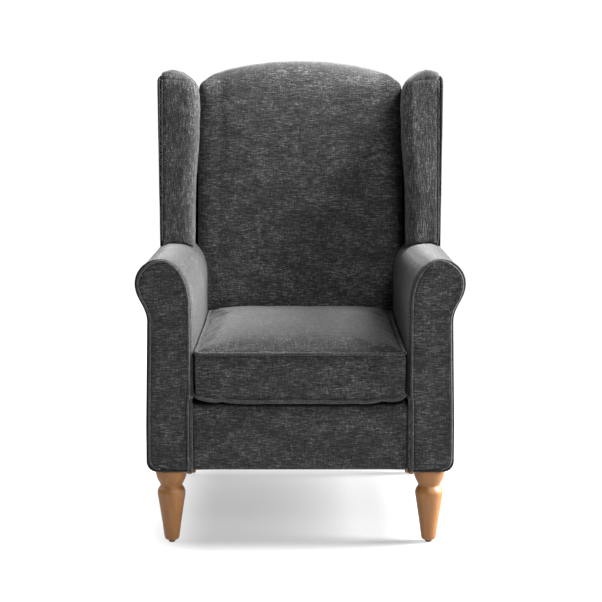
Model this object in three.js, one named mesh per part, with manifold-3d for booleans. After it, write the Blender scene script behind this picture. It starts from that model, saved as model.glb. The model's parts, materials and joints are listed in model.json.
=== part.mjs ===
// Wingback armchair in millimetres, +Z up, standing on z = 0 and facing -Y.
// Every piece is drawn with Y as its depth behind the arms' front plane. The finished group is
// then moved forwards by half the overall depth, so that the chair is centred on X and Y.
// Left and right are as seen from the front: left is -X. Right-hand pieces are drawn once and
// the left-hand side is their mirror image.
import * as THREE from "three";
import { mergeVertices } from "three/addons/utils/BufferGeometryUtils.js";
import Module from "manifold-3d";

const wasm = await Module();
wasm.setup();

// Overall sizes
const overallWidth = 730;
const overallHeight = 1078;
const overallDepth = 780;

// General allowances
const clearance = 0.3;
const overrun = 60;
const mergeTolerance = 0.001;
const curveSteps = 5;
const roundSteps = 12;

// Base frame
const frameBottom = 172;
const frameHeight = 116;
const railThickness = 22;
const frontRailDepth = 30;
const sideRailThickness = 25;
const sideRailSetback = 32;
const blockHeight = 60;
const blockLength = 60;

// Arm scroll, as the facing shows it
const armTop = 649;
const armFall = 0.0193;
const armWidth = 121.5;
const scrollCrownSetback = 57;
const scrollInnerRise = 104;
const scrollOuterRise = 55;
const neckDrop = 139;
const neckReach = 34;
const neckSetback = 26.5;
const panelSetback = 21.5;
const panelWideHeight = 274;
const footRound = 24;

// Arm pieces
const facingThickness = 12;
const facingBevel = 3;
const facingOverhang = 2;
const facingFootStep = 4;
const boardInset = 6;
const boardThickness = 22;
const armRailPadding = 18.5;
const armRailNeckInset = 0.5;
const armRailDrop = 40;
const armRailThickness = 22;
const armPadInset = 1;
const armPadFullness = 11;
const armPadFlare = 8.5;
const armPadFlareLength = 120;
const armPadSquareness = 2.7;
const armPadSteps = 10;
const rollLipThickness = 13;
const sidePanelTuck = 0.35;

// Back
const backLean = 77;
const backPanelThickness = 9;
const postWidth = 60;
const postThickness = 25;
const postTopDrop = 74;
const lumbarRise = 169;
const lumbarThickness = 155;
const lumbarEase = 3;
const backPadTaper = 0.152;
const backPadWingLap = 1;
const backPadEdgeFall = 26;
const backPadSteps = 12;
const crestSetback = 75;
const crestDrop = 74;
const crestRearDrop = 34;
const crestHandle = 45;
const crestLip = 25;
const archRise = 42.4;
const archStartShare = 0.366;
const archFullDrop = 174;
const shoulderWidth = 57;
const shoulderDrop = 20;
const webbingThickness = 1.6;
const webbingWidth = 50;
const webbingCount = 2;
const webbingDrop = 45;
const topRailDrop = 41;
const topRailHeight = 90;
const topRailGap = 2;

// Wings
const wingDepth = 365;
const wingLean = 0.09;
const wingTopDrop = 23;
const wingRound = 48;
const wingRearDrop = 16;
const wingBurial = 85;
const wingBottomStep = 12.5;
const wingBellyStep = 1;
const wingCrownSetback = 61;
const wingPadSetback = 26.3;
const wingOuterSlope = 0.0145;
const wingBevel = 26;
const wingBevelSteps = 3;
const wingFlare = 0.058;
const wingCornerFall = 12;
const wingCrownFall = 26.4;
const wingShoulderDrop = 10.2;
const wingBoardThickness = 22;
const wingBoardSetback = 22;

// Share of the inward swing from the wing's foot to its belly, and share of the wing's height
const wingInnerShares = [
  [0.1, 0.27],
  [0.6, 0.46],
  [0.97, 0.6],
  [1, 0.7],
  [0.96, 0.8],
];
// Share of the way from belly to crown, and share of the crown's fall
const wingCrownShares = [
  [0.28, 1],
  [0.62, 0.31],
  [1, 0],
];
const backPanelShoulderShare = 0.85;

// Seat deck and front border
const springRise = 18.7;
const deckThickness = 18;
const borderFront = 16;
const borderRound = 22;
const borderLipDrop = 2.7;
const borderLipRear = 71.7;
const borderSeat = 40;

// Seat cushion
const cushionFront = 2;
const cushionRearGap = 2;
const cushionEdgeHeight = 117.5;
const cushionEdgeRise = 24;
const cushionEdgeReach = 190;
const cushionCrown = 19;
const cushionRearCrown = 11;
const cushionCornerLift = 14;
const cushionSideGap = 4;
const cushionDraw = 3;
const coverThickness = 2;
const cushionSteps = 10;
const cushionSideSteps = 2;

// Zip at the cushion's rear
const zipRise = 64;
const zipEndInset = 38;
const zipHalfWidth = 4;
const sliderLength = 13;
const sliderHalfWidth = 4.5;
const sliderThickness = 3;

// Seat springs
const springCount = 4;
const springSideRoom = 95;
const springWire = 1.9;
const springWaves = 8;
const springSwing = 20;
const springStepsPerWave = 6;
const springSides = 4;
const springFront = 45;

// Front legs: radius and height of each bead of the turning
const frontLegInset = 46;
const frontLegSetback = 74.2;
const legFootRadius = 16.3;
const legFootHeight = 8;
const legTipRadius = 12;
const legShoulderRadius = 31.6;
const legShoulderDrop = 56;
const legTaperRadius = 29.8;
const legTaperDrop = 70;
const legGrooveRadius = 25;
const legGrooveDrop = 39;
const legBowlRadius = 36;
const legBowlDrop = 14;
const legTopRadius = 33;
const legSides = 20;

// Rear legs
const rearFootSetback = 6;
const rearFootSideSetback = 73;
const rearFootHalf = 17;
const rearLegTopHalf = 25;

// Glides, leg bolts and threaded inserts
const glideHeight = 5;
const glideRadius = 7.5;
const glideChamfer = 1.2;
const boltRadius = 4;
const boltLength = 78;
const boltInLeg = 44;
const boltEndRoom = 3;
const insertRadius = 6;
const insertLength = 20;

// Dust cover
const dustThickness = 2;
const dustInset = 2;
const dustLegGap = 1;

// Worked-out heights
const frameTop = frameBottom + frameHeight;
const legTop = frameBottom - clearance;
const facingBottom = frameBottom - facingOverhang;
const deckBottom = frameTop + springRise;
const deckTop = deckBottom + deckThickness;
const borderLipTop = deckTop - borderLipDrop;
const cushionBottom = deckTop + clearance;
const cushionEdgeFront = cushionBottom + cushionEdgeHeight;
const zipHeight = cushionBottom + zipRise;
const lumbarHeight = cushionBottom + lumbarRise;
const facingFootTop = cushionBottom + cushionCornerLift;
const neckHeight = armTop - neckDrop;
const armRailTop = armTop - armRailDrop;
const wingBase = armTop - wingBurial;
const wingTop = overallHeight - wingTopDrop;
const wingHeight = wingTop - armTop;
const backPanelTop = overallHeight - crestRearDrop;
const postTop = overallHeight - postTopDrop;
const topRailTop = overallHeight - topRailDrop;
const archFull = overallHeight - archFullDrop;
const archStart = lumbarHeight + (archFull - lumbarHeight) * archStartShare;
const webbingLow = armTop - webbingDrop;
const webbingPitch = (topRailTop - topRailHeight - webbingLow) / webbingCount;

// Worked-out places across the right-hand half
const scrollOuter = overallWidth / 2;
const scrollInner = scrollOuter - armWidth;
const scrollCrown = scrollOuter - scrollCrownSetback;
const neckOuter = scrollOuter - neckSetback;
const panelWide = scrollOuter - panelSetback;
const facingFoot = scrollInner - facingFootStep;
const boardInnerEdge = scrollInner + boardInset;
const armRailInner = scrollInner + armRailPadding;
const armRailOuter = neckOuter - armRailNeckInset;
const armPadRear = scrollInner - armPadFullness;
const sideRailOuter = scrollOuter - sideRailSetback;
const sideRailInner = sideRailOuter - sideRailThickness;
const sidePanelInner = sideRailOuter + clearance;
const postOuter = sideRailInner - clearance;
const postInner = postOuter - postThickness;
const railEnd = postInner - clearance;
const wingBottomInner = scrollInner + wingBottomStep;
const wingBellyInner = scrollInner + wingBellyStep;
const wingCrown = scrollOuter - wingCrownSetback;
const wingPadOuter = scrollOuter - wingPadSetback;
const backPadHalf = wingBottomInner + backPadWingLap;
const archRadius = (backPadHalf * backPadHalf + archRise * archRise) / (2 * archRise);
const zipHalfLength = armPadRear - cushionSideGap - zipEndInset;
const springPitch = (2 * (railEnd - springSideRoom)) / (springCount - 1);
const frontLegSpacing = scrollOuter - frontLegSetback;
const rearFootSpacing = scrollOuter - rearFootSideSetback;
const rearBoltSpacing = (postOuter + postInner) / 2;

// Worked-out depths
const boardFront = facingThickness + clearance;
const boardRear = boardFront + boardThickness;
const framesFront = boardRear + clearance;
const backFootDepth = overallDepth - backLean;
const backPanelSetback = backPanelThickness + clearance;
const backRake = backLean / (backPanelTop - frameBottom);
const crestDepth = overallDepth - crestSetback;
const wingFrontDepth = overallDepth - wingDepth;
const rearFootDepth = backFootDepth - rearFootSetback;
const rearBoltDepth = postFrontAt(frameBottom) + postWidth / 2;
const cushionRear = insideBackAt(cushionBottom) - cushionRearGap;

function backOuterAt(z) {
  return backFootDepth + (z - frameBottom) * backRake;
}

function postFrontAt(z) {
  return backOuterAt(z) - backPanelSetback - postWidth;
}

function webbingFrontAt(z) {
  return postFrontAt(z) - webbingThickness - 2 * clearance;
}

function insideBackAt(z) {
  const lumbar = Math.max(z, lumbarHeight);
  return webbingFrontAt(lumbar) - lumbarThickness + (lumbar - lumbarHeight) * backPadTaper;
}

function wingFrontAt(z) {
  return wingFrontDepth + (z - armTop) * wingLean;
}

// How far the back's arched top has dropped at x, with its rounded shoulders
function archDropAt(x) {
  const side = Math.min(Math.abs(x), backPadHalf);
  const shoulder = Math.max(0, 1 - (backPadHalf - side) / shoulderWidth);
  const arc = archRadius - Math.sqrt(archRadius * archRadius - side * side);
  return arc + shoulderDrop * Math.pow(shoulder, 2.5);
}

// Places across the back at which its arch is drawn, closer together towards the sides
function archStations() {
  return Array.from({ length: backPadSteps + 1 }, (_, step) => {
    return backPadHalf * Math.sin((step / backPadSteps - 1 / 2) * Math.PI);
  });
}

function armPadInnerAt(depth) {
  return armPadRear + armPadFlare * Math.exp((boardFront - depth) / armPadFlareLength);
}

// The body's outer face, widest low down and leaning out again up the wings
function bodyOuterAt(z) {
  const narrowing = THREE.MathUtils.clamp((z - panelWideHeight) / (neckHeight - panelWideHeight), 0, 1);
  const leaning = Math.max(0, z - neckHeight) * wingOuterSlope;
  return panelWide - (panelWide - neckOuter) * narrowing + leaning;
}

function placeVertices(geometry, place) {
  const position = geometry.attributes.position;
  const point = new THREE.Vector3();
  for (let i = 0; i < position.count; i += 1) {
    point.fromBufferAttribute(position, i);
    place(point);
    position.setXYZ(i, point.x, point.y, point.z);
  }
  return geometry;
}

function solidOf(geometry) {
  const bare = geometry.clone();
  bare.deleteAttribute("normal");
  bare.deleteAttribute("uv");
  const merged = mergeVertices(bare, mergeTolerance);
  const mesh = new wasm.Mesh({
    numProp: 3,
    vertProperties: merged.attributes.position.array,
    triVerts: new Uint32Array(merged.index.array),
  });
  return new wasm.Manifold(mesh);
}

function geometryOf(solid) {
  const mesh = solid.getMesh();
  const geometry = new THREE.BufferGeometry();
  geometry.setAttribute("position", new THREE.BufferAttribute(mesh.vertProperties, mesh.numProp));
  geometry.setIndex(new THREE.BufferAttribute(mesh.triVerts, 1));
  return geometry;
}

function cut(geometry, ...tools) {
  let solid = solidOf(geometry);
  for (const tool of tools) {
    solid = solid.subtract(solidOf(tool));
  }
  return geometryOf(solid);
}

function mirrored(geometry) {
  const flipped = mergeVertices(geometry, mergeTolerance).scale(-1, 1, 1);
  flipped.index.array.reverse();
  return flipped;
}

// Turns a drawing's X, Y and extrusion direction to the given directions of the chair
function turned(geometry, drawnX, drawnY, drawnZ) {
  return geometry.applyMatrix4(new THREE.Matrix4().makeBasis(drawnX, drawnY, drawnZ));
}

const rightward = new THREE.Vector3(1, 0, 0);
const rearward = new THREE.Vector3(0, 1, 0);
const forward = new THREE.Vector3(0, -1, 0);
const upward = new THREE.Vector3(0, 0, 1);

// A side view (depth, height) extruded from one x to another
function acrossPrism(shape, xLow, xHigh, options = {}) {
  const geometry = new THREE.ExtrudeGeometry(shape, {
    depth: xHigh - xLow,
    bevelEnabled: false,
    curveSegments: curveSteps,
    ...options,
  });
  return turned(geometry, rearward, upward, rightward).translate(xLow, 0, 0);
}

// A front view (x, height) extruded from one depth back to another
function deepPrism(shape, front, rear, options = {}) {
  const geometry = new THREE.ExtrudeGeometry(shape, {
    depth: rear - front,
    bevelEnabled: false,
    curveSegments: curveSteps,
    ...options,
  });
  return turned(geometry, rightward, upward, forward).translate(0, rear, 0);
}

function box(xLow, xHigh, front, rear, bottom, top) {
  const geometry = new THREE.BoxGeometry(xHigh - xLow, rear - front, top - bottom);
  return geometry.translate((xLow + xHigh) / 2, (front + rear) / 2, (bottom + top) / 2);
}

function upright(radius, bottom, top, x, depth) {
  const geometry = new THREE.CylinderGeometry(radius, radius, top - bottom, roundSteps);
  return geometry.rotateX(Math.PI / 2).translate(x, depth, (bottom + top) / 2);
}

function turnedUpright(points, sides, x, depth) {
  const profile = points.map(([radius, height]) => new THREE.Vector2(radius, height));
  const geometry = new THREE.LatheGeometry(profile, sides);
  return geometry.rotateX(Math.PI / 2).translate(x, depth, 0);
}

function polygon(points) {
  return new THREE.Shape(points.map(([across, up]) => new THREE.Vector2(across, up)));
}

// Leans a piece with the back: depths drawn at the frame's bottom move back as they rise
function raked(geometry) {
  return placeVertices(geometry, (point) => {
    point.y += (point.z - frameBottom) * backRake;
  });
}

// The arms fall a little towards the rear above their necks
function fallen(geometry) {
  const straight = armRailTop - armRailThickness;
  return placeVertices(geometry, (point) => {
    const share = THREE.MathUtils.clamp((point.z - neckHeight) / (straight - neckHeight), 0, 1);
    point.z -= armFall * point.y * share;
  });
}

const slots = {
  fabric: { color: 0x3f4042, roughness: 0.95, metalness: 0 },
  leg_wood: { color: 0xa87846, roughness: 0.5, metalness: 0 },
  frame_wood: { color: 0xc9ab7c, roughness: 0.8, metalness: 0 },
  foam: { color: 0xe6dfc8, roughness: 1, metalness: 0 },
  webbing: { color: 0x2b2b2b, roughness: 0.9, metalness: 0 },
  dust_cloth: { color: 0x181818, roughness: 1, metalness: 0 },
  steel: { color: 0x9a9da0, roughness: 0.4, metalness: 1 },
  nylon: { color: 0x5a4632, roughness: 0.6, metalness: 0 },
  zip: { color: 0x26272a, roughness: 0.5, metalness: 0.2 },
};

const materials = Object.fromEntries(
  Object.entries(slots).map(([slot, finish]) => [slot, new THREE.MeshStandardMaterial(finish)]),
);

const chair = new THREE.Group();
const rightSide = new THREE.Group();
const leftSide = new THREE.Group();
leftSide.scale.x = -1;
chair.add(rightSide, leftSide);
chair.position.y = -overallDepth / 2;

function addPiece(name, slot, geometry) {
  const mesh = new THREE.Mesh(geometry, materials[slot]);
  mesh.name = name;
  chair.add(mesh);
}

function addPair(name, slot, geometry) {
  const right = new THREE.Mesh(geometry, materials[slot]);
  const left = new THREE.Mesh(geometry, materials[slot]);
  right.name = name + "_right";
  left.name = name + "_left";
  rightSide.add(right);
  leftSide.add(left);
}

// Arm scroll seen from the front, drawn in from the facing's outline by an inset
function scrollOutline(inset, bottom, foot) {
  const inner = scrollInner + inset;
  const outer = scrollOuter - inset;
  const neck = neckOuter - inset;
  const wide = panelWide - inset;
  const innerSpring = armTop - scrollInnerRise;
  const outerSpring = armTop - scrollOuterRise;
  const shape = new THREE.Shape();
  shape.moveTo(foot + inset, bottom);
  shape.lineTo(foot + inset, Math.max(bottom, facingFootTop - inset));
  shape.lineTo(inner, Math.max(bottom, facingFootTop - inset) + Math.abs(inner - foot - inset));
  const innerWidth = scrollCrown - inner;
  const outerWidth = outer - scrollCrown;
  shape.absellipse(scrollCrown, innerSpring, innerWidth, scrollInnerRise - inset, Math.PI, Math.PI / 2, true);
  shape.absellipse(scrollCrown, outerSpring, outerWidth, scrollOuterRise - inset, Math.PI / 2, 0, true);
  shape.bezierCurveTo(outer, outerSpring - neckReach, neck, neckHeight + neckReach, neck, neckHeight);
  if (bottom < panelWideHeight) {
    shape.lineTo(wide, panelWideHeight);
    shape.lineTo(wide, bottom + footRound);
    shape.quadraticCurveTo(wide, bottom, wide - footRound, bottom);
  } else {
    shape.lineTo(neck, bottom);
  }
  return shape;
}

// The scroll drawn back along the arm, fuller on its inside towards the rear
function armRoll(margin, bottom, rearAt) {
  const outline = scrollOutline(armPadInset - margin, bottom, scrollInner);
  const edge = scrollInner + armPadInset - margin;
  const roll = deepPrism(outline, 0, 1, { steps: armPadSteps });
  placeVertices(roll, (point) => {
    const front = boardFront - margin;
    point.y = front + (rearAt(point.z) - front) * point.y;
    if (point.x > scrollCrown) return;
    const reach = Math.min((scrollCrown - point.x) / (scrollCrown - edge), 1);
    const rise = Math.pow(1 - reach * reach, armPadSquareness / 2);
    const squarer = Math.pow(1 - rise, 1 / armPadSquareness) - reach;
    const settled = 1 - Math.exp((boardFront - point.y) / armPadFlareLength);
    const width = scrollCrown - armPadInnerAt(point.y) + margin;
    point.x = scrollCrown - width * (reach + squarer * settled);
  });
  return fallen(roll);
}

// The room that the wings leave for the arm rolls they stand on
function rollSpace() {
  return armRoll(clearance, neckHeight, () => overallDepth + overrun);
}

function boardSpace(margin) {
  const outline = scrollOutline(boardInset - margin, frameBottom - margin, scrollInner);
  return deepPrism(outline, boardFront - margin, boardRear + margin);
}

function armFacing() {
  const outline = scrollOutline(0, facingBottom, facingFoot);
  return deepPrism(outline, facingBevel, facingThickness - facingBevel, {
    bevelEnabled: true,
    bevelThickness: facingBevel,
    bevelSize: facingBevel,
    bevelOffset: -facingBevel,
    bevelSegments: 2,
  });
}

function armRail() {
  const bottom = armRailTop - armRailThickness;
  const rear = postFrontAt(bottom - armFall * overallDepth) - clearance;
  return fallen(box(armRailInner, armRailOuter, framesFront, rear, bottom, armRailTop));
}

// The hollow of the arm behind its pad, with the arm rail's own space
function armHollow() {
  const inner = armRailInner - clearance;
  const outer = armRailOuter + clearance;
  const lip = neckOuter - rollLipThickness;
  const railBottom = armRailTop - armRailThickness - clearance;
  const outline = polygon([
    [inner, 0],
    [inner, armRailTop + clearance],
    [outer, armRailTop + clearance],
    [outer, railBottom],
    [lip, railBottom],
    [lip, neckHeight],
    [scrollOuter + overrun, neckHeight],
    [scrollOuter + overrun, 0],
  ]);
  return fallen(deepPrism(outline, 0, overallDepth));
}

function insideArmPad() {
  const pad = armRoll(0, deckTop + clearance, (z) => webbingFrontAt(z - armFall * overallDepth) - clearance);
  return cut(pad, armHollow(), boardSpace(clearance));
}

// The arm's outer skin, with a step that runs up behind the roll to the post
function outsideArmPanel() {
  const bottom = frameBottom;
  const round = facingBottom + footRound;
  const top = neckHeight - clearance;
  const stepTop = armTop - armFall * overallDepth - footRound / 2;
  const stepFront = postFrontAt(top) + clearance;
  const section = polygon([
    [sidePanelInner, bottom],
    [bodyOuterAt(bottom) - (round - bottom) * sidePanelTuck, bottom],
    [bodyOuterAt(round), round],
    [bodyOuterAt(panelWideHeight), panelWideHeight],
    [bodyOuterAt(top), top],
    [bodyOuterAt(stepTop), stepTop],
    [sidePanelInner, stepTop],
  ]);
  const rearAt = (z) => backOuterAt(z) - backPanelSetback;
  const behind = polygon([
    [rearAt(0), 0],
    [overallDepth + overrun, 0],
    [overallDepth + overrun, overallHeight],
    [rearAt(overallHeight), overallHeight],
  ]);
  const above = polygon([
    [0, top],
    [stepFront, top],
    [stepFront + (overallHeight - top) * backRake, overallHeight],
    [0, overallHeight],
  ]);
  const tools = [behind, above].map((outline) => acrossPrism(outline, 0, scrollOuter));
  return cut(deepPrism(section, boardFront, overallDepth), boardSpace(clearance), ...tools);
}

function stuffingRail() {
  const rear = postFrontAt(frameTop) + postWidth / 2;
  return box(armRailInner, railEnd, framesFront, rear, frameTop + clearance, deckTop - clearance);
}

function addArms() {
  addPair("arm_facing", "fabric", armFacing());
  addPair("arm_front_board", "frame_wood", boardSpace(0));
  addPair("arm_rail", "frame_wood", armRail());
  addPair("arm_stuffing_rail", "frame_wood", stuffingRail());
  addPair("inside_arm_pad", "fabric", insideArmPad());
  addPair("outside_arm_panel", "fabric", outsideArmPanel());
}

function boltHole(x, depth) {
  const top = legTop - boltInLeg + boltLength + boltEndRoom;
  return upright(insertRadius + clearance, frameBottom - overrun, top, x, depth);
}

function frontBlock() {
  const rear = framesFront + blockLength;
  const inner = boardInnerEdge + clearance;
  const top = frameBottom + blockHeight;
  const block = box(inner, sideRailInner - clearance, framesFront, rear, frameBottom, top);
  return cut(block, boltHole(frontLegSpacing, frontLegInset));
}

function rearBlock() {
  const rear = rearRailFront() - clearance;
  const inner = railEnd - blockLength;
  return box(inner, railEnd, rear - blockLength, rear, frameBottom, frameBottom + blockHeight);
}

function rearRailFront() {
  return postFrontAt(frameTop) + clearance + (postWidth - railThickness) / 4;
}

function addBaseFrame() {
  const end = boardInnerEdge - clearance;
  const rear = backFootDepth - backPanelSetback - clearance;
  const frontRail = box(-end, end, frontRailDepth, frontRailDepth + railThickness, frameBottom, frameTop);
  const railFront = rearRailFront();
  const rearRail = box(-railEnd, railEnd, railFront, railFront + railThickness, frameBottom, frameTop);
  addPiece("front_rail", "frame_wood", frontRail);
  addPiece("rear_rail", "frame_wood", rearRail);
  const sideRail = box(sideRailInner, sideRailOuter, framesFront, rear, frameBottom, frameTop);
  addPair("side_rail", "frame_wood", sideRail);
  addPair("front_corner_block", "frame_wood", frontBlock());
  addPair("rear_corner_block", "frame_wood", rearBlock());
}

function backPost() {
  const front = postFrontAt(frameBottom);
  const post = raked(box(postInner, postOuter, front, front + postWidth, frameBottom, postTop));
  return cut(post, boltHole(rearBoltSpacing, rearBoltDepth));
}

function topRail() {
  const arch = archStations().map((x) => [x, topRailTop - archDropAt(x)]);
  const end = topRailTop - archDropAt(backPadHalf);
  const bottom = topRailTop - topRailHeight;
  const points = [[-railEnd, bottom], [-railEnd, end], ...arch, [railEnd, end], [railEnd, bottom]];
  const front = postFrontAt(frameBottom);
  return raked(deepPrism(polygon(points), front, front + railThickness));
}

function webbingStrap(bottom) {
  const rear = postFrontAt(frameBottom) - clearance;
  const top = bottom + webbingWidth;
  return raked(box(-postOuter, postOuter, rear - webbingThickness, rear, bottom, top));
}

// The inside back seen from the side: seat, lumbar, rake and rolled-over crest, then back down
// behind the top rail and along the webbing
function backPadProfile(margin) {
  const bottom = deckTop + clearance - margin;
  const crest = overallHeight + margin;
  const under = topRailTop + topRailGap;
  const rearTop = overallHeight - crestRearDrop;
  const rearLip = rearTop - crestLip;
  const fold = overallHeight - crestDrop;
  const railRearAt = (z) => postFrontAt(z) + railThickness + topRailGap;
  const frontAt = (z) => insideBackAt(z) - margin;
  const rearAt = (z) => backOuterAt(z) - backPanelSetback;
  const shape = new THREE.Shape();
  shape.moveTo(frontAt(bottom) + lumbarEase, bottom);
  shape.lineTo(frontAt(bottom) + lumbarEase, (bottom + lumbarHeight) / 2);
  shape.lineTo(frontAt(lumbarHeight), lumbarHeight);
  shape.lineTo(frontAt(archStart), archStart);
  shape.lineTo(frontAt(archFull), archFull);
  shape.lineTo(frontAt(fold), fold);
  const bend = fold + crestHandle;
  shape.bezierCurveTo(frontAt(bend), bend, crestDepth - crestHandle, crest, crestDepth, crest);
  shape.bezierCurveTo(crestDepth + crestHandle, crest, rearAt(crest), crest, rearAt(rearTop), rearTop);
  shape.lineTo(rearAt(rearLip), rearLip);
  shape.lineTo(railRearAt(rearLip), rearLip);
  shape.lineTo(railRearAt(under), under);
  shape.lineTo(webbingFrontAt(under), under);
  shape.lineTo(webbingFrontAt(bottom), bottom);
  return shape;
}

// The inside back's block: its side view drawn across the chair, arched, with receding edges
function backPadBlock(margin) {
  const pad = acrossPrism(backPadProfile(margin), -1, 1, { steps: backPadSteps });
  return placeVertices(pad, (point) => {
    const across = Math.sin((point.x * Math.PI) / 2);
    const thick = webbingFrontAt(point.z) - insideBackAt(point.z);
    const fore = THREE.MathUtils.clamp((webbingFrontAt(point.z) - point.y) / thick, 0, 1);
    const arch = THREE.MathUtils.clamp((point.z - archStart) / (archFull - archStart), 0, 1);
    const drop = archDropAt(across * backPadHalf) * arch;
    point.x = across * (backPadHalf + margin);
    point.y += backPadEdgeFall * Math.pow(Math.abs(across), 8) * fore - drop * backRake;
    point.z -= drop;
  });
}

function insideBackPad() {
  const arm = armRoll(clearance, deckTop - clearance, () => overallDepth);
  return cut(backPadBlock(0), arm, mirrored(arm));
}

function outsideBackPanel() {
  const shoulder = armTop + wingHeight * backPanelShoulderShare;
  const corner = bodyOuterAt(shoulder);
  const right = [
    [bodyOuterAt(facingBottom), facingBottom],
    [bodyOuterAt(panelWideHeight), panelWideHeight],
    [bodyOuterAt(wingBase), wingBase],
    [corner, shoulder],
    [corner - wingRound / 4, (shoulder + backPanelTop) / 2],
    [wingCrown, backPanelTop],
    [(wingCrown + backPadHalf) / 2, backPanelTop - wingRearDrop],
    [backPadHalf, backPanelTop - archDropAt(backPadHalf)],
  ];
  const arch = archStations().slice(1, -1).reverse().map((x) => [x, backPanelTop - archDropAt(x)]);
  const left = right.map(([x, up]) => [-x, up]).reverse();
  const front = backFootDepth - backPanelThickness;
  return raked(deepPrism(polygon([...right, ...arch, ...left]), front, backFootDepth));
}

function addBack() {
  addPair("back_post", "frame_wood", backPost());
  addPiece("back_top_rail", "frame_wood", topRail());
  for (let strap = 0; strap < webbingCount; strap += 1) {
    const bottom = webbingLow + strap * webbingPitch;
    addPiece("back_webbing_" + (strap + 1), "webbing", webbingStrap(bottom));
  }
  addPiece("inside_back_pad", "fabric", insideBackPad());
  addPiece("outside_back_panel", "fabric", outsideBackPanel());
}

// The wing seen from the side, drawn in from its outline by an inset
function wingProfile(inset) {
  const top = wingTop - inset;
  const shoulder = wingTop - wingRound;
  const rearTop = top - wingRearDrop;
  const rear = backOuterAt(rearTop) - backPanelSetback - inset;
  const front = wingFrontAt(wingTop) + inset;
  const shape = new THREE.Shape();
  shape.moveTo(wingFrontAt(wingBase) + inset, wingBase);
  shape.lineTo(wingFrontAt(shoulder) + inset, shoulder);
  shape.quadraticCurveTo(front, top, front + wingRound, top);
  shape.lineTo(rear - wingRound, top);
  shape.quadraticCurveTo(rear - wingRound / 4, top, rear, rearTop);
  shape.lineTo(backOuterAt(wingBase) - backPanelSetback - inset, wingBase);
  return shape;
}

// The wing seen from the front, past its outer edge by an overrun that is cut off later
function wingOutline() {
  const swing = wingBottomInner - wingBellyInner;
  const inner = wingInnerShares.map(([inward, up]) => {
    return new THREE.Vector2(wingBottomInner - swing * inward, armTop + wingHeight * up);
  });
  const width = wingCrown - wingBellyInner;
  const crown = wingCrownShares.map(([out, down]) => {
    return new THREE.Vector2(wingBellyInner + width * out, wingTop - wingCrownFall * down);
  });
  const outer = wingPadOuter + overrun;
  const shape = new THREE.Shape();
  shape.moveTo(outer, wingBase);
  shape.lineTo(wingBottomInner, wingBase);
  shape.lineTo(wingBottomInner, armTop);
  shape.splineThru([...inner, ...crown]);
  shape.lineTo(wingPadOuter, wingTop - wingShoulderDrop);
  shape.lineTo(outer, wingTop - wingShoulderDrop);
  return shape;
}

function wingBoardSpace(margin) {
  const inner = postOuter + clearance - margin;
  return acrossPrism(wingProfile(wingBoardSetback - margin), inner, inner + wingBoardThickness + 2 * margin);
}

// The frame's space behind the wing pad: posts, rails and webbing
function postSpace() {
  const front = webbingFrontAt(frameBottom) - clearance;
  const top = postTop + clearance;
  const outer = postOuter + clearance;
  return raked(box(0, outer, front, front + overallDepth, frameBottom, top));
}

function wingPad() {
  const rings = wingBevelSteps + 1;
  const straight = overallDepth + overrun - wingFrontDepth - wingBevel;
  const block = deepPrism(wingOutline(), 0, 1, { steps: rings, curveSegments: 2 });
  placeVertices(block, (point) => {
    const ring = Math.round(point.y * rings);
    const turn = (Math.min(ring / wingBevelSteps, 1) * Math.PI) / 2;
    const inset = wingBevel * (1 - Math.sin(turn));
    const back = wingBevel * (1 - Math.cos(turn)) + (ring > wingBevelSteps ? straight : 0);
    const inward = THREE.MathUtils.clamp((wingPadOuter - point.x) / (wingPadOuter - wingBellyInner), 0, 1);
    const upward = THREE.MathUtils.clamp((point.z - wingTop + 2 * wingBevel) / (2 * wingBevel), 0, 1);
    point.x += (back * wingFlare + inset) * inward;
    point.y = wingFrontDepth + back + (point.z - armTop) * wingLean;
    point.z -= inset * upward;
  });
  const side = acrossPrism(wingProfile(0), 0, wingPadOuter);
  const board = acrossPrism(wingProfile(wingBoardSetback - clearance), postOuter, scrollOuter);
  const shaped = solidOf(block).intersect(solidOf(side));
  return cut(geometryOf(shaped), board, postSpace(), rollSpace(), backPadBlock(clearance));
}

function outsideWingPanel() {
  const inner = postOuter + 2 * clearance + wingBoardThickness;
  const outer = bodyOuterAt(wingTop);
  const skin = wingPadOuter + clearance;
  const shoulder = wingTop - wingShoulderDrop;
  const corner = polygon([
    [0, 0],
    [outer + overrun, 0],
    [outer + overrun, shoulder - wingCornerFall],
    [outer, shoulder - wingCornerFall],
    [skin, shoulder],
    [0, shoulder],
  ]);
  const filler = solidOf(acrossPrism(wingProfile(wingBoardSetback), inner, skin + clearance));
  const plate = solidOf(acrossPrism(wingProfile(0), skin, outer));
  const face = plate.intersect(solidOf(deepPrism(corner, 0, overallDepth)));
  const leaning = placeVertices(geometryOf(filler.add(face)), (point) => {
    if (point.x > skin + clearance) point.x = bodyOuterAt(point.z);
  });
  return cut(leaning, rollSpace());
}

function addWings() {
  addPair("wing_board", "frame_wood", cut(wingBoardSpace(0), rollSpace()));
  addPair("inside_wing_pad", "fabric", wingPad());
  addPair("outside_wing_panel", "fabric", outsideWingPanel());
}

function frontBorder() {
  const rail = frontRailDepth - clearance;
  const bottom = facingBottom + clearance;
  const lipBottom = deckBottom - clearance;
  const shape = new THREE.Shape();
  shape.moveTo(borderFront, bottom);
  shape.lineTo(borderFront, borderLipTop - borderRound);
  shape.quadraticCurveTo(borderFront, borderLipTop, borderFront + borderRound, borderLipTop);
  shape.lineTo(borderLipRear, borderLipTop);
  shape.lineTo(borderLipRear, lipBottom);
  shape.lineTo(borderSeat, lipBottom);
  shape.lineTo(borderSeat, frameTop + clearance);
  shape.lineTo(rail, frameTop + clearance);
  shape.lineTo(rail, bottom);
  const half = facingFoot - clearance;
  return acrossPrism(shape, -half, half);
}

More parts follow.
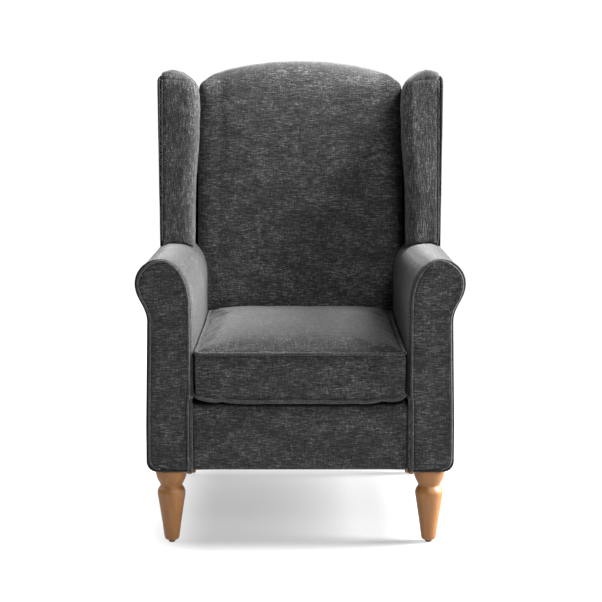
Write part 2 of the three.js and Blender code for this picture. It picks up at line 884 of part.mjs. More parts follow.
function seatDeck() {
  const half = armRailInner - clearance;
  const rear = webbingFrontAt(deckTop);
  return box(-half, half, borderLipRear + clearance, rear, deckBottom, deckTop);
}

// A zigzag wire in plan that rises from the rails to the deck in a shallow arch
class SpringPath extends THREE.Curve {
  constructor(x, front, rear, low, high) {
    super();
    this.x = x;
    this.front = front;
    this.rear = rear;
    this.low = low;
    this.high = high;
  }

  getPoint(share, target = new THREE.Vector3()) {
    const swing = springSwing * Math.sin(share * springWaves * 2 * Math.PI);
    const rise = (this.high - this.low) * Math.sin(share * Math.PI);
    return target.set(this.x + swing, this.front + (this.rear - this.front) * share, this.low + rise);
  }
}

function springSection() {
  const points = [];
  for (let side = 0; side < springSides; side += 1) {
    const angle = ((side + 1 / 2) / springSides) * 2 * Math.PI;
    points.push([springWire * Math.cos(angle), springWire * Math.sin(angle)]);
  }
  return polygon(points);
}

function seatSpring(x) {
  const rear = rearRailFront() + railThickness / 2;
  const low = frameTop + clearance + springWire;
  const high = deckBottom - clearance - springWire;
  return new THREE.ExtrudeGeometry(springSection(), {
    steps: springWaves * springStepsPerWave,
    extrudePath: new SpringPath(x, springFront, rear, low, high),
    bevelEnabled: false,
  });
}

function addSeat() {
  addPiece("front_border", "fabric", frontBorder());
  addPiece("seat_deck", "fabric", seatDeck());
  for (let spring = 0; spring < springCount; spring += 1) {
    const x = (spring - (springCount - 1) / 2) * springPitch;
    addPiece("seat_spring_" + (spring + 1), "steel", seatSpring(x));
  }
}

// Height of the cushion's top seam at a depth: it rises from the front edge and levels out
function cushionEdgeAt(depth) {
  return cushionEdgeFront + cushionEdgeRise * (1 - Math.exp(-depth / cushionEdgeReach));
}

// A box cushion with a crowned top, sides that follow the arms and lifted bottom corners
function cushionBody(inset) {
  const middle = (cushionFront + cushionRear) / 2;
  const half = (cushionRear - cushionFront) / 2 - inset;
  const body = new THREE.BoxGeometry(2, 2, 2, cushionSteps, cushionSteps, cushionSideSteps);
  return placeVertices(body, (point) => {
    const across = Math.sin((point.x * Math.PI) / 2);
    const along = Math.sin((point.y * Math.PI) / 2);
    const drawn = cushionDraw * Math.max(0, -along) * (1 - across * across);
    const depth = middle + along * half + drawn;
    const side = armPadInnerAt(depth) - cushionSideGap - inset;
    const rearCrown = Math.max(0, along) * cushionRearCrown;
    const lengthwise = cushionCrown * (1 - Math.pow(along, 4)) + rearCrown * Math.pow(along, 4);
    const crown = lengthwise * (1 - Math.pow(across, 4));
    const top = cushionEdgeAt(depth) + crown - inset;
    const bottom = cushionBottom + cushionCornerLift * Math.pow(across, 8) + inset;
    point.x = across * side;
    point.y = depth;
    point.z = bottom + ((top - bottom) * (point.z + 1)) / 2;
  });
}

function cushionCover() {
  const slotHalf = zipHalfLength + clearance;
  const low = zipHeight - zipHalfWidth - clearance;
  const high = zipHeight + zipHalfWidth + clearance;
  const slot = box(-slotHalf, slotHalf, cushionRear - 2 * coverThickness, cushionRear + overrun, low, high);
  return cut(cushionBody(0), cushionBody(coverThickness), slot);
}

function cushionZip() {
  const front = cushionRear - coverThickness + clearance;
  const low = zipHeight - zipHalfWidth;
  return box(-zipHalfLength, zipHalfLength, front, cushionRear - clearance, low, zipHeight + zipHalfWidth);
}

// A flat upholstery slider, pointed at the end that closes the zip
function zipSlider() {
  const start = -zipHalfLength;
  const outline = polygon([
    [start, zipHeight - sliderHalfWidth / 2],
    [start + sliderLength / 4, zipHeight - sliderHalfWidth],
    [start + sliderLength, zipHeight - sliderHalfWidth],
    [start + sliderLength, zipHeight + sliderHalfWidth],
    [start + sliderLength / 4, zipHeight + sliderHalfWidth],
    [start, zipHeight + sliderHalfWidth / 2],
  ]);
  return deepPrism(outline, cushionRear, cushionRear + sliderThickness);
}

function addCushion() {
  addPiece("seat_cushion_cover", "fabric", cushionCover());
  addPiece("seat_cushion_core", "foam", cushionBody(coverThickness + clearance));
  addPiece("cushion_zip", "zip", cushionZip());
  addPiece("zip_slider", "zip", zipSlider());
}

function frontLeg() {
  const hole = boltRadius + clearance;
  const holeBottom = legTop - boltInLeg - clearance;
  const shoulder = frameBottom - legShoulderDrop;
  const taper = frameBottom - legTaperDrop;
  const groove = frameBottom - legGrooveDrop;
  const bowl = frameBottom - legBowlDrop;
  const profile = [
    [0, glideHeight],
    [legTipRadius, glideHeight],
    [legFootRadius, legFootHeight],
    [legTaperRadius, taper],
    [legShoulderRadius, shoulder - (shoulder - taper) / 4],
    [legShoulderRadius, shoulder],
    [(legShoulderRadius + legGrooveRadius) / 2, (2 * groove + shoulder) / 3],
    [legGrooveRadius, groove],
    [(legGrooveRadius + 2 * legBowlRadius) / 3, (groove + bowl) / 2],
    [legBowlRadius, bowl],
    [legTopRadius, legTop],
    [hole, legTop],
    [hole, holeBottom],
    [0, holeBottom],
  ];
  return turnedUpright(profile, legSides, frontLegSpacing, frontLegInset);
}

function rearLeg() {
  const leg = new THREE.BoxGeometry(1, 1, 1);
  placeVertices(leg, (point) => {
    const up = point.z + 1 / 2;
    const half = rearFootHalf + (rearLegTopHalf - rearFootHalf) * up;
    point.x = rearFootSpacing + (rearBoltSpacing - rearFootSpacing) * up + 2 * half * point.x;
    point.y = rearFootDepth + (rearBoltDepth - rearFootDepth) * up + 2 * half * point.y;
    point.z = glideHeight + (legTop - glideHeight) * up;
  });
  const bottom = legTop - boltInLeg - clearance;
  const hole = upright(boltRadius + clearance, bottom, legTop + overrun, rearBoltSpacing, rearBoltDepth);
  return cut(leg, hole);
}

function glide(x, depth) {
  const profile = [
    [0, 0],
    [glideRadius - glideChamfer, 0],
    [glideRadius, glideChamfer],
    [glideRadius, glideHeight - clearance],
    [0, glideHeight - clearance],
  ];
  return turnedUpright(profile, roundSteps, x, depth);
}

function legBolt(x, depth) {
  const bottom = legTop - boltInLeg;
  return upright(boltRadius, bottom, bottom + boltLength, x, depth);
}

function threadedInsert(x, depth) {
  const profile = [
    [boltRadius + clearance, frameBottom],
    [insertRadius, frameBottom],
    [insertRadius, frameBottom + insertLength],
    [boltRadius + clearance, frameBottom + insertLength],
    [boltRadius + clearance, frameBottom],
  ];
  return turnedUpright(profile, roundSteps, x, depth);
}

function addLegs() {
  addPair("front_leg", "leg_wood", frontLeg());
  addPair("rear_leg", "leg_wood", rearLeg());
  addPair("front_glide", "nylon", glide(frontLegSpacing, frontLegInset));
  addPair("rear_glide", "nylon", glide(rearFootSpacing, rearFootDepth));
  addPair("front_leg_bolt", "steel", legBolt(frontLegSpacing, frontLegInset));
  addPair("rear_leg_bolt", "steel", legBolt(rearBoltSpacing, rearBoltDepth));
  addPair("front_leg_insert", "steel", threadedInsert(frontLegSpacing, frontLegInset));
  addPair("rear_leg_insert", "steel", threadedInsert(rearBoltSpacing, rearBoltDepth));
}

function dustCover() {
  const half = sideRailOuter - dustInset;
  const rear = backFootDepth - backPanelSetback - dustInset;
  const top = legTop;
  const sheet = box(-half, half, frontRailDepth, rear, top - dustThickness, top);
  const reach = rearLegTopHalf + dustLegGap;
  const holes = [-1, 1].flatMap((side) => {
    const frontX = side * frontLegSpacing;
    const rearX = side * rearBoltSpacing;
    const round = upright(legBowlRadius + dustLegGap, 0, frameBottom, frontX, frontLegInset);
    const front = rearBoltDepth - reach;
    const square = box(rearX - reach, rearX + reach, front, front + 2 * reach, 0, frameBottom);
    return [round, square];
  });
  return cut(sheet, ...holes);
}

addBaseFrame();
addPiece("dust_cover", "dust_cloth", dustCover());
addSeat();
addArms();
addBack();
addWings();
addCushion();
addLegs();

export default chair;
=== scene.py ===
import json
import math

import bmesh
import bpy
import numpy as np
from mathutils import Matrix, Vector
from mathutils.bvhtree import BVHTree
from mathutils.kdtree import KDTree


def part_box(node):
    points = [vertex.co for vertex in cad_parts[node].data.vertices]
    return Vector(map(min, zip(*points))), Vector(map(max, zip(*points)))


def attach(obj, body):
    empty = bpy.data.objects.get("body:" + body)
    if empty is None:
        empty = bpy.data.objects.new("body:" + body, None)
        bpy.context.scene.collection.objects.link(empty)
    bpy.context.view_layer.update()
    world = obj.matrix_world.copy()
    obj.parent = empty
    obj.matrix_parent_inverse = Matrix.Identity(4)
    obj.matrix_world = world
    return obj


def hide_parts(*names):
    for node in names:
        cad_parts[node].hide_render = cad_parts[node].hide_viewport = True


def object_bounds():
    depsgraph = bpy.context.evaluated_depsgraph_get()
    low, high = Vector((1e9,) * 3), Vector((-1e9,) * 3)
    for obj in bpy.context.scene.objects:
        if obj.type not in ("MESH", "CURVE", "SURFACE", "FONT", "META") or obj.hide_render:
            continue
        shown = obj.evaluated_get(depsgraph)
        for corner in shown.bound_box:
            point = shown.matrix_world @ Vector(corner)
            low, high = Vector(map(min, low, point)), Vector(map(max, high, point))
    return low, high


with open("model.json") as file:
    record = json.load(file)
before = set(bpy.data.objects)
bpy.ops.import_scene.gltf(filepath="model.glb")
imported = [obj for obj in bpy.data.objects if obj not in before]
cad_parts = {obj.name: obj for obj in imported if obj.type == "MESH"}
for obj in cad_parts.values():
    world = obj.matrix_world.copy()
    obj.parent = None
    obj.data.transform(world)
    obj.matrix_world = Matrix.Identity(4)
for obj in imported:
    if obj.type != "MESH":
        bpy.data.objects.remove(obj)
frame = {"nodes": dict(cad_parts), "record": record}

cad_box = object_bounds()
mm = 0.001

# Camera: the photograph's place, height and angle of view
camera_depth = -4200 * mm
camera_height = 1094 * mm
camera_pitch = 8.02
camera_lens = 104.65
camera_sensor = 36
camera_shift = 0.0012

# Arms, measured from the chair's middle, its front and the floor
cad_front = cad_box[0][1]
arm_top = 649 * mm
scroll_inner = 243.5 * mm
scroll_outer = 365 * mm
scroll_crown = 308 * mm
scroll_inner_rise = 104 * mm
scroll_outer_rise = 55 * mm
neck_height = 510 * mm
neck_reach = 34 * mm
neck_outer = 338.5 * mm
panel_wide = 343.5 * mm
panel_wide_height = 274 * mm
foot_round = 24 * mm
facing_bottom = 170 * mm
facing_foot = 239.5 * mm
facing_foot_top = 339 * mm
outer_seam_depth = 18 * mm
outer_seam_heights = (186 * mm, 500 * mm)

# Cloth tucked in behind each arm
tuck_inner = 310 * mm
tuck_outer = 332 * mm
tuck_near = 280 * mm
tuck_far = 341 * mm
tuck_bottom = 500 * mm
tuck_top = 626 * mm

# Seat cushion
cushion_front = 2 * mm
cushion_rear = 503 * mm
cushion_bottom = 325 * mm
cushion_edge = 442.5 * mm
cushion_edge_rise = 24 * mm
cushion_edge_reach = 190 * mm
cushion_crown = 19 * mm
cushion_rear_crown = 11 * mm
cushion_corner_lift = 14 * mm
cushion_side_gap = 4 * mm
cushion_draw = 3 * mm
arm_pad_rear = 232.5 * mm
arm_pad_flare = 8.5 * mm
arm_pad_flare_length = 120 * mm
board_front = 12.3 * mm
cushion_corner = 16 * mm
cushion_slack = 2.5 * mm
cushion_room_top = 7 * mm
cushion_room_bottom = 1.2 * mm
cushion_room_sides = 2 * mm
cushion_room_ends = 3.5 * mm
cushion_piping_radius = 4.6 * mm
seam_wave = 1.1 * mm
zip_height = 389 * mm
zip_half = 190.5 * mm
zip_plane = 110.9 * mm
zip_band = 9 * mm

# Arm fronts, as insets from the arm's outline and depths behind its front
facing_band = 12.5 * mm
facing_near = 3 * mm
facing_far = 12 * mm
facing_dome = 2.6 * mm
facing_dome_reach = 12 * mm
piping_insets = (3.4 * mm, 7.6 * mm)
panel_insets = (5.0 * mm, 9.2 * mm)
piping_depth = 1.9 * mm
piping_radius = 2.7 * mm
scroll_crown_point = 26
scroll_ease_points = 10
turned_edge = tuple((inner * mm, outer * mm, depth * mm) for inner, outer, depth in (
    (1.6, 1.6, 24), (0.3, 0.3, 15), (0, 0, 10), (0.2, 0.8, 8), (0.8, 2.4, 7),
    (1.4, 4.2, 7.4), (2.0, 5.8, 8.8), (4, 9, 10), (6, 11, 14)))
turned_edge_groove = (2, 3, 4)
foot_band = tuple((x * mm, depth * mm) for x, depth in (
    (239.6, 15.6), (239.6, 5), (240.4, 2.4), (243, 1.4),
    (246, 1.4), (248.6, 2.4), (249.4, 5), (249.4, 15.6)))
foot_band_heights = tuple(z * mm for z in (170.3, 171.5, 200, 240, 280, 320, 338, 343))
foot_band_sides = (239.5 * mm, 249.5 * mm)
board_sections = tuple((inset * mm, depth * mm) for inset, depth in (
    (10.2, 12.4), (9, 13.6), (9, 33), (10.2, 34.2)))
arm_rail_cut = 9 * mm

# Wings
wing_outer = 338.7 * mm
wing_panel_outer = 343 * mm
wing_front_base = 415 * mm
wing_lean = 0.09
wing_cap_height = 1037 * mm
wing_crown_lift = 6 * mm
wing_crown_middle = 298 * mm
wing_crown_ease = 14 * mm
wing_crown_bottom = 1000 * mm
wing_crown_blend = 40 * mm
wing_rear_fall = 6 * mm
wing_fall_start = 100 * mm
wing_fall_length = 200 * mm
wing_shoulder = 7.5 * mm
wing_shoulder_height = 1020 * mm
wing_shoulder_reach = 42 * mm
wing_shoulder_outer = 330 * mm
wing_shoulder_blend = 40 * mm
wing_piping_radius = 2.2 * mm
wing_seam_inset = 1.3 * mm

# Seams on the wings, each as its start, end and step in metres
wing_seam_heights = (0.645, 1.036, 0.006)
wing_cap_sides = (0.279, 0.338, 0.004)
wing_panel_heights = (0.63, 1.045, 0.01)

# Back, border, deck and underside
back_flat_half = 200 * mm
back_edge_start = 243 * mm
back_edge_radius = 13 * mm
back_fill_depth = 60 * mm
border_half = 243 * mm
deck_strip = 95 * mm
dust_cover_step = 10 * mm
dust_cover_sag = 4 * mm
dust_cover_middle = -29 * mm
dust_cover_half = 331 * mm
dust_cover_thickness = 0.5 * mm
dust_cover_ripple = 0.5 * mm
staple_gap = 40 * mm
staple_row_half = 220 * mm
staple_row_inset = 8 * mm
staple_depth = 1.35 * mm
staple_size = (11 * mm, 1.2 * mm, 0.6 * mm)

# Zip: half its width, half the gap between its tapes, its teeth and its end stops
zip_tape_half = 4 * mm
zip_tape_gap = 0.4 * mm
zip_tape_step = 5 * mm
zip_ripple = 0.045 * mm
tooth_pitch = 1.1 * mm
tooth_offset = 0.55 * mm
tooth_size = (0.85 * mm, 0.9 * mm, 2.2 * mm)
stop_size = (2 * mm, 1.1 * mm, 4 * mm)

# Front leg, as radius and height in millimetres
leg_profile = (
    (0, 5), (9, 5), (13.5, 6.2), (16.3, 9.5), (17.2, 14), (21, 44), (25.6, 74), (29.8, 102),
    (31.2, 109), (31.7, 115), (31.2, 120), (29, 125.5), (26, 129.5), (24.6, 132), (24.8, 134.5),
    (27.2, 139), (31.5, 147), (34.4, 156), (35.8, 165), (36, 171.7), (0, 171.7))

# Rear leg: its middle at the foot and at the frame, and its half width there
rear_foot = (292 * mm, 307 * mm, 5 * mm)
rear_foot_half = 17 * mm
rear_top = (295.2 * mm, 273.7 * mm, 171.7 * mm)
rear_top_half = 25 * mm
rear_leg_opening = 28 * mm
rear_leg_corner = 5 * mm
rear_leg_ease = 1.6 * mm
front_leg_sides = 72

# Studio: name, turn from the front, rise above the floor, size, power
studio_lights = (
    ("key", 16, 24, 0.8, 61),
    ("rim_low", 88, 19, 1.2, 600),
    ("rim_high", 94, 50, 1.2, 320),
    ("top", 75, 65, 1.6, 8),
    ("left", -80, 35, 1.6, 28),
    ("rear", -170, 30, 2.2, 60),
    ("rear_left", -120, 25, 1.8, 40),
)
light_distance = 3.2
light_target = (0, 0, 0.6)
room_light = 0.06
backdrop_white = 1.05
floor_half = 12
# Painted shadow under the chair: how much the floor's glow is dimmed there, and the distances from the
# middle, across and along, over which that fades out.
floor_shade = 0.57
floor_shade_width = (0.40, 0.20)
floor_shade_depth = (0.52, 0.32)

cloth_frames = 20


# Small helpers for shader nodes

class Shader:
    """A material's node tree, with short calls for the nodes used here."""

    def __init__(self, name):
        self.material = bpy.data.materials.new(name)
        self.material.use_nodes = True
        self.tree = self.material.node_tree
        self.tree.nodes.clear()
        self.output = self.tree.nodes.new("ShaderNodeOutputMaterial")
        self.surface = self.tree.nodes.new("ShaderNodeBsdfPrincipled")
        self.tree.links.new(self.surface.outputs[0], self.output.inputs["Surface"])

    def node(self, kind, **settings):
        made = self.tree.nodes.new(kind)
        for key, value in settings.items():
            setattr(made, key, value)
        return made

    def feed(self, socket, value):
        if isinstance(value, bpy.types.NodeSocket):
            self.tree.links.new(value, socket)
        else:
            socket.default_value = value

    def made(self, kind, inputs, **settings):
        """The first output of a new node, once its inputs are set or linked."""
        node = self.node(kind, **settings)
        for name, value in inputs.items():
            self.feed(node.inputs[name], value)
        return node.outputs[0]

    def math(self, operation, first, second=0.0, clamp=False):
        inputs = {0: first, 1: second}
        return self.made("ShaderNodeMath", inputs, operation=operation, use_clamp=clamp)

    def put(self, name, value):
        """Sets or links one of the surface's own inputs."""
        self.feed(self.surface.inputs[name], value)

    def split(self, coordinates):
        """x, y and z of one of the object's coordinates."""
        parts = self.node("ShaderNodeSeparateXYZ")
        self.feed(parts.inputs[0], self.node("ShaderNodeTexCoord").outputs[coordinates])
        return parts.outputs

    def times(self, first, second, clamp=False):
        return self.math("MULTIPLY", first, second, clamp)

    def plus(self, total, value, share):
        """total with a share of value added."""
        return self.math("ADD", total, self.times(value, share))

    def vector(self, x, y, z):
        return self.made("ShaderNodeCombineXYZ", {0: x, 1: y, 2: z})

    def choose(self, share, first, second):
        """first where share is 0 and second where it is 1."""
        return self.made("ShaderNodeMix", {0: share, 2: first, 3: second}, data_type="FLOAT")

    def noise(self, place, detail=2.0, rough=0.5, scale=1.0):
        inputs = {"Vector": place, "Scale": scale, "Detail": detail, "Roughness": rough}
        return self.made("ShaderNodeTexNoise", inputs)

    def ramp(self, value, stops):
        made = self.node("ShaderNodeValToRGB")
        while len(made.color_ramp.elements) < len(stops):
            made.color_ramp.elements.new(0.5)
        for element, (place, colour) in zip(made.color_ramp.elements, stops):
            element.position = place
            element.color = (*colour, 1)
        self.feed(made.inputs[0], value)
        return made.outputs[0]

    def fade(self, value, off, on):
        """1 where the value reaches on and 0 where it reaches off, eased between."""
        inputs = {0: value, 1: off, 2: on}
        return self.made("ShaderNodeMapRange", inputs, interpolation_type="SMOOTHSTEP")

    def bump(self, height, strength, distance):
        inputs = {"Strength": strength, "Distance": distance, "Height": height}
        self.put("Normal", self.made("ShaderNodeBump", inputs))


def cloth_material(name, upright_weft=False, slub_share=1.0, painted_light_gain=1.0):
    """Charcoal slub weave: flat slubs along the weft, fine warp lines, light flecks, soft mottling;
    painted shade darkens it along seams, and a gain lightens a whole copy as painted light.
    """
    s = Shader(name)
    x, y, z = s.split("Object")
    facing = s.split("Normal")
    side = s.math("GREATER_THAN", s.math("ABSOLUTE", facing[0]), 0.72)
    level = s.math("GREATER_THAN", s.math("ABSOLUTE", facing[2]), 0.72)
    along = s.choose(side, x, y)
    up = s.choose(level, z, s.times(y, 0.5))
    if upright_weft:
        along, up = up, along

    def grain(per_metre_along, per_metre_up, detail, rough, layer):
        stretched = s.vector(s.times(along, per_metre_along), s.times(up, per_metre_up), layer)
        return s.math("SUBTRACT", s.noise(stretched, detail, rough), 0.5)

    slub = grain(62, 440, 3.0, 0.65, 1.7)
    fine = grain(260, 700, 2.0, 0.5, 5.1)
    warp = grain(360, 60, 2.0, 0.6, 9.3)
    fleck = grain(90, 430, 1.0, 0.5, 13.9)
    cloud = grain(13, 24, 3.0, 0.6, 21.2)
    threads = 4300
    thread = s.times(s.math("SINE", s.times(along, threads)), s.math("SINE", s.times(up, threads)))
    tone = s.plus(0.5, slub, s.choose(level, 1.1 * slub_share, 0.6 * slub_share))
    tone = s.plus(tone, fine, 0.75)
    tone = s.plus(tone, warp, 0.38)
    tone = s.plus(tone, cloud, s.choose(level, 0.28 * slub_share, 0.12 * slub_share))
    tone = s.plus(tone, thread, 0.025)
    spark = s.times(s.math("SUBTRACT", fleck, 0.09), 7.0, clamp=True)
    spark = s.times(spark, s.times(s.math("ADD", cloud, 0.06), 6.0, clamp=True))
    tone = s.plus(tone, spark, 0.2 * slub_share)
    # Painted light: the gain scales every shade, lifting whole copies of the weave to stand in for the
    # light that those parts catch.
    shades = ((0.3, 0.0075), (0.44, 0.015), (0.54, 0.0245), (0.66, 0.048), (0.82, 0.115))
    colour = s.ramp(tone, [(place, (shade * painted_light_gain,) * 3) for place, shade in shades])

    # Painted shade: where the seam attribute is high the colour goes towards near black, standing in
    # for the shadow in seams, grooves and creases.
    seam = s.node("ShaderNodeAttribute", attribute_name="seam")
    out_of_seam_shade = s.math("SUBTRACT", 1.0, seam.outputs["Fac"], clamp=True)
    shaded = s.node("ShaderNodeMix", data_type="RGBA")
    s.feed(shaded.inputs[0], out_of_seam_shade)
    shaded.inputs[6].default_value = (0.004, 0.004, 0.004, 1)
    s.feed(shaded.inputs[7], colour)
    s.put("Base Color", shaded.outputs[2])
    s.put("Roughness", 0.93)
    s.put("Specular IOR Level", 0.2)
    s.put("Sheen Weight", 0.12)
    s.put("Sheen Roughness", 0.5)
    s.put("Sheen Tint", (1, 1, 1, 1))
    s.bump(tone, 0.7, 1.5 * mm)
    return s.material


def wood_material(name, light, dark, gloss=0.42):
    """Straight-grained timber with fine pores along the piece's height."""
    s = Shader(name)
    x, y, z = s.split("Object")

    def streaks(per_metre_across, per_metre_up, detail, rough):
        wide, deep = s.times(x, per_metre_across), s.times(y, per_metre_across)
        return s.noise(s.vector(wide, deep, s.times(z, per_metre_up)), detail, rough)

    pores = streaks(900, 55, 2, 0.5)
    tone = s.plus(s.times(streaks(130, 6, 4, 0.6), 0.5), pores, 0.2)
    tone = s.plus(tone, streaks(24, 1, 2, 0.5), 0.3)
    s.put("Base Color", s.ramp(tone, [(0.32, dark), (0.66, light)]))
    s.put("Roughness", s.plus(gloss, pores, 0.15))
    s.bump(tone, 0.15, 0.4 * mm)
    return s.material


def plain_material(name, colour, rough, metallic=0.0, grain=300.0, spread=0.15):
    """A moulded, cast or felted finish with slight mottling."""
    s = Shader(name)
    here = s.node("ShaderNodeTexCoord")
    speckle = s.noise(here.outputs["Object"], 3, 0.6, grain)
    low = tuple(c * (1 - spread) for c in colour)
    high = tuple(min(1, c * (1 + spread)) for c in colour)
    s.put("Base Color", s.ramp(speckle, [(0.35, low), (0.65, high)]))
    s.put("Roughness", s.plus(rough, speckle, 0.1))
    s.put("Metallic", metallic)
    s.bump(speckle, 0.2, 0.2 * mm)
    return s.material


weave = cloth_material("charcoal_weave")
turned_weave = cloth_material("charcoal_weave_upright", upright_weft=True)
close_weave = cloth_material("charcoal_weave_close", slub_share=0.75)
# The back's and the piping's copies are painted lighter, standing in for the light that the leaning
# back and the round cords catch.
back_weave_painted_light = cloth_material("charcoal_weave_back_painted_light", painted_light_gain=1.28)
piping_weave_painted_light = cloth_material("charcoal_weave_piping_painted_light", slub_share=0.5, painted_light_gain=1.35)
beech = wood_material("oiled_beech", (0.23, 0.094, 0.017), (0.135, 0.049, 0.0075))
sawn = wood_material("sawn_frame_wood", (0.62, 0.46, 0.28), (0.46, 0.31, 0.17), gloss=0.7)
finishes = {
    "fabric": weave,
    "leg_wood": beech,
    "frame_wood": sawn,
    "foam": plain_material("cut_foam", (0.78, 0.72, 0.56), 0.9, grain=700),
    "webbing": plain_material("woven_webbing", (0.03, 0.03, 0.03), 0.8, grain=900, spread=0.5),
    "dust_cloth": plain_material("felted_cloth", (0.012, 0.012, 0.012), 0.95, grain=1200, spread=0.6),
    "steel": plain_material("drawn_steel", (0.5, 0.5, 0.5), 0.35, metallic=1.0),
    "nylon": plain_material("moulded_nylon", (0.09, 0.055, 0.03), 0.5),
    "zip": plain_material("dark_zip", (0.02, 0.02, 0.021), 0.55, grain=1500),
}
for subpart in frame["record"]["subparts"]:
    node = frame["nodes"][subpart["node"]]
    node.data.materials.clear()
    node.data.materials.append(finishes[subpart["material_slot"]])


# Mesh helpers

def linked(name, mesh):
    piece = bpy.data.objects.new(name, mesh)
    bpy.context.scene.collection.objects.link(piece)
    return piece


def apply_modifiers(piece):
    """Bakes the piece's modifiers into its mesh."""
    graph = bpy.context.evaluated_depsgraph_get()
    baked = bpy.data.meshes.new_from_object(piece.evaluated_get(graph))
    piece.modifiers.clear()
    old = piece.data
    piece.data = baked
    bpy.data.meshes.remove(old)


def new_piece(name, vertices, faces):
    """One piece of the points and faces, with doubled points joined and the faces turned outward."""
    mesh = bpy.data.meshes.new(name)
    mesh.from_pydata([tuple(v) for v in vertices], [], faces)
    mesh.validate()
    work = bmesh.new()
    work.from_mesh(mesh)
    bmesh.ops.remove_doubles(work, verts=work.verts, dist=0.001 * mm)
    bmesh.ops.recalc_face_normals(work, faces=work.faces)
    work.to_mesh(mesh)
    work.free()
    return linked(name, mesh)


def copied(name, node):
    """A new piece with the form of a CAD solid."""
    work = bmesh.new()
    work.from_mesh(frame["nodes"][node].data)
    bmesh.ops.remove_doubles(work, verts=work.verts, dist=0.01 * mm)
    mesh = bpy.data.meshes.new(name)
    work.to_mesh(mesh)
    work.free()
    return linked(name, mesh)


def remeshed(piece, voxel, smoothing):
    """The piece in even small faces, with its kinks smoothed."""
    remesh = piece.modifiers.new("remesh", "REMESH")
    remesh.mode = "VOXEL"
    remesh.voxel_size = voxel
    smooth = piece.modifiers.new("smooth", "SMOOTH")
    smooth.factor = 0.5
    smooth.iterations = smoothing
    apply_modifiers(piece)
    return piece


def subdivided(piece, levels=1):
    modifier = piece.modifiers.new("subdivide", "SUBSURF")
    modifier.levels = modifier.render_levels = levels
    apply_modifiers(piece)
    return piece


def vertices_of(piece):
    flat = np.empty(len(piece.data.vertices) * 3, np.float32)
    piece.data.vertices.foreach_get("co", flat)
    return flat.reshape(-1, 3).astype(float)


def normals_of(piece):
    flat = np.empty(len(piece.data.vertices) * 3, np.float32)
    piece.data.vertices.foreach_get("normal", flat)
    return flat.reshape(-1, 3).astype(float)


def set_vertices(piece, places):
    piece.data.vertices.foreach_set("co", places.astype(np.float32).ravel())
    piece.data.update()


def inflated(piece, pressure, most):
    """Cloth simulation under air pressure; no vertex ends further than most from its start."""
    start = vertices_of(piece)
    scene = bpy.context.scene
    cloth = piece.modifiers.new("cloth", "CLOTH")
    settings = cloth.settings
    settings.quality = 4
    settings.use_pressure = True
    settings.uniform_pressure_force = pressure
    settings.tension_stiffness = 12
    settings.compression_stiffness = 12
    settings.bending_stiffness = 0.6
    settings.effector_weights.gravity = 0
    cloth.collision_settings.use_collision = False
    cloth.point_cache.frame_start = 1
    cloth.point_cache.frame_end = cloth_frames
    for step in range(1, cloth_frames + 1):
        scene.frame_set(step)
    apply_modifiers(piece)
    scene.frame_set(1)
    moved = vertices_of(piece) - start
    length = np.linalg.norm(moved, axis=1, keepdims=True)
    moved *= np.minimum(1, most / np.maximum(length, 1e-9))
    set_vertices(piece, start + moved)


def neighbour_mean(piece, values, passes):
    """Values at the points, averaged with those next to them."""
    edges = np.empty(len(piece.data.edges) * 2, np.int32)
    piece.data.edges.foreach_get("vertices", edges)
    first, second = edges.reshape(-1, 2).T
    count = np.bincount(np.concatenate([first, second]), minlength=len(values))[:, None] + 1
    for _ in range(passes):
        total = values.copy()
        np.add.at(total, first, values[second])
        np.add.at(total, second, values[first])
        values = total / count
    return values


def cover_of(name, node, voxel, smoothing, passes=8):
    """A fine smooth copy of a solid, moved back out to it softly so that no facets come back."""
    cover = remeshed(copied(name, node), voxel, smoothing)
    solid = copied("solid_form", node)
    surface = BVHTree.FromObject(solid, bpy.context.evaluated_depsgraph_get())
    bpy.data.objects.remove(solid)
    places = vertices_of(cover)
    nearest = np.array([surface.find_nearest(place)[0] for place in places])
    set_vertices(cover, places + neighbour_mean(cover, nearest - places, passes))
    return cover


def distance_to(points, route):
    """Distance from each point to the nearest point of a finely stepped route."""
    tree = KDTree(len(route))
    for index, place in enumerate(route):
        tree.insert(place, index)
    tree.balance()
    return np.array([tree.find(point)[2] for point in points])


def pinch(piece, route, reach, depth):
    """Draws the surface in along a seam."""
    places = vertices_of(piece)
    away = distance_to(places, dense(route, 3 * mm))
    share = np.exp(-((away / reach) ** 2))[:, None]
    set_vertices(piece, places - normals_of(piece) * share * depth)


def dense(route, step, closed=False):
    """The same route with points at most a step apart."""
    points = [Vector(p) for p in route]
    pairs = zip(points, points[1:] + points[:1]) if closed else zip(points, points[1:])
    filled = []
    for first, second in pairs:
        count = max(1, math.ceil((second - first).length / step))
        filled += [first.lerp(second, k / count) for k in range(count)]
    if not closed:
        filled.append(points[-1])
    return filled


def eased(route, passes, closed=False):
    """The route with its kinks averaged out; an open route keeps its ends."""
    points = np.array([tuple(p) for p in route])
    for _ in range(passes):
        middle = (np.roll(points, 1, 0) + 2 * points + np.roll(points, -1, 0)) / 4
        if not closed:
            middle[0], middle[-1] = points[0], points[-1]
        points = middle
    return [Vector(p) for p in points]


def laid_on(piece, route, lift):
    """The route moved onto the piece's surface, its middle lifted off it."""
    surface = BVHTree.FromObject(piece, bpy.context.evaluated_depsgraph_get())
    laid = []
    for point in route:
        place, normal, _, _ = surface.find_nearest(point)
        laid.append(place + normal * lift)
    return laid


def ring_faces(count, wide, closed=False):
    """Quads between successive rings of points, with capped ends where the row of rings is open."""
    faces = []
    for ring in range(count if closed else count - 1):
        first, second = ring * wide, (ring + 1) % count * wide
        for k in range(wide):
            right = (k + 1) % wide
            faces.append((first + k, first + right, second + right, second + k))
    if not closed:
        faces.append(tuple(reversed(range(wide))))
        faces.append(tuple(range((count - 1) * wide, count * wide)))
    return faces


def lofted(name, rings):
    """A closed solid through successive rings of points."""
    places = [point for ring in rings for point in ring]
    return new_piece(name, places, ring_faces(len(rings), len(rings[0])))


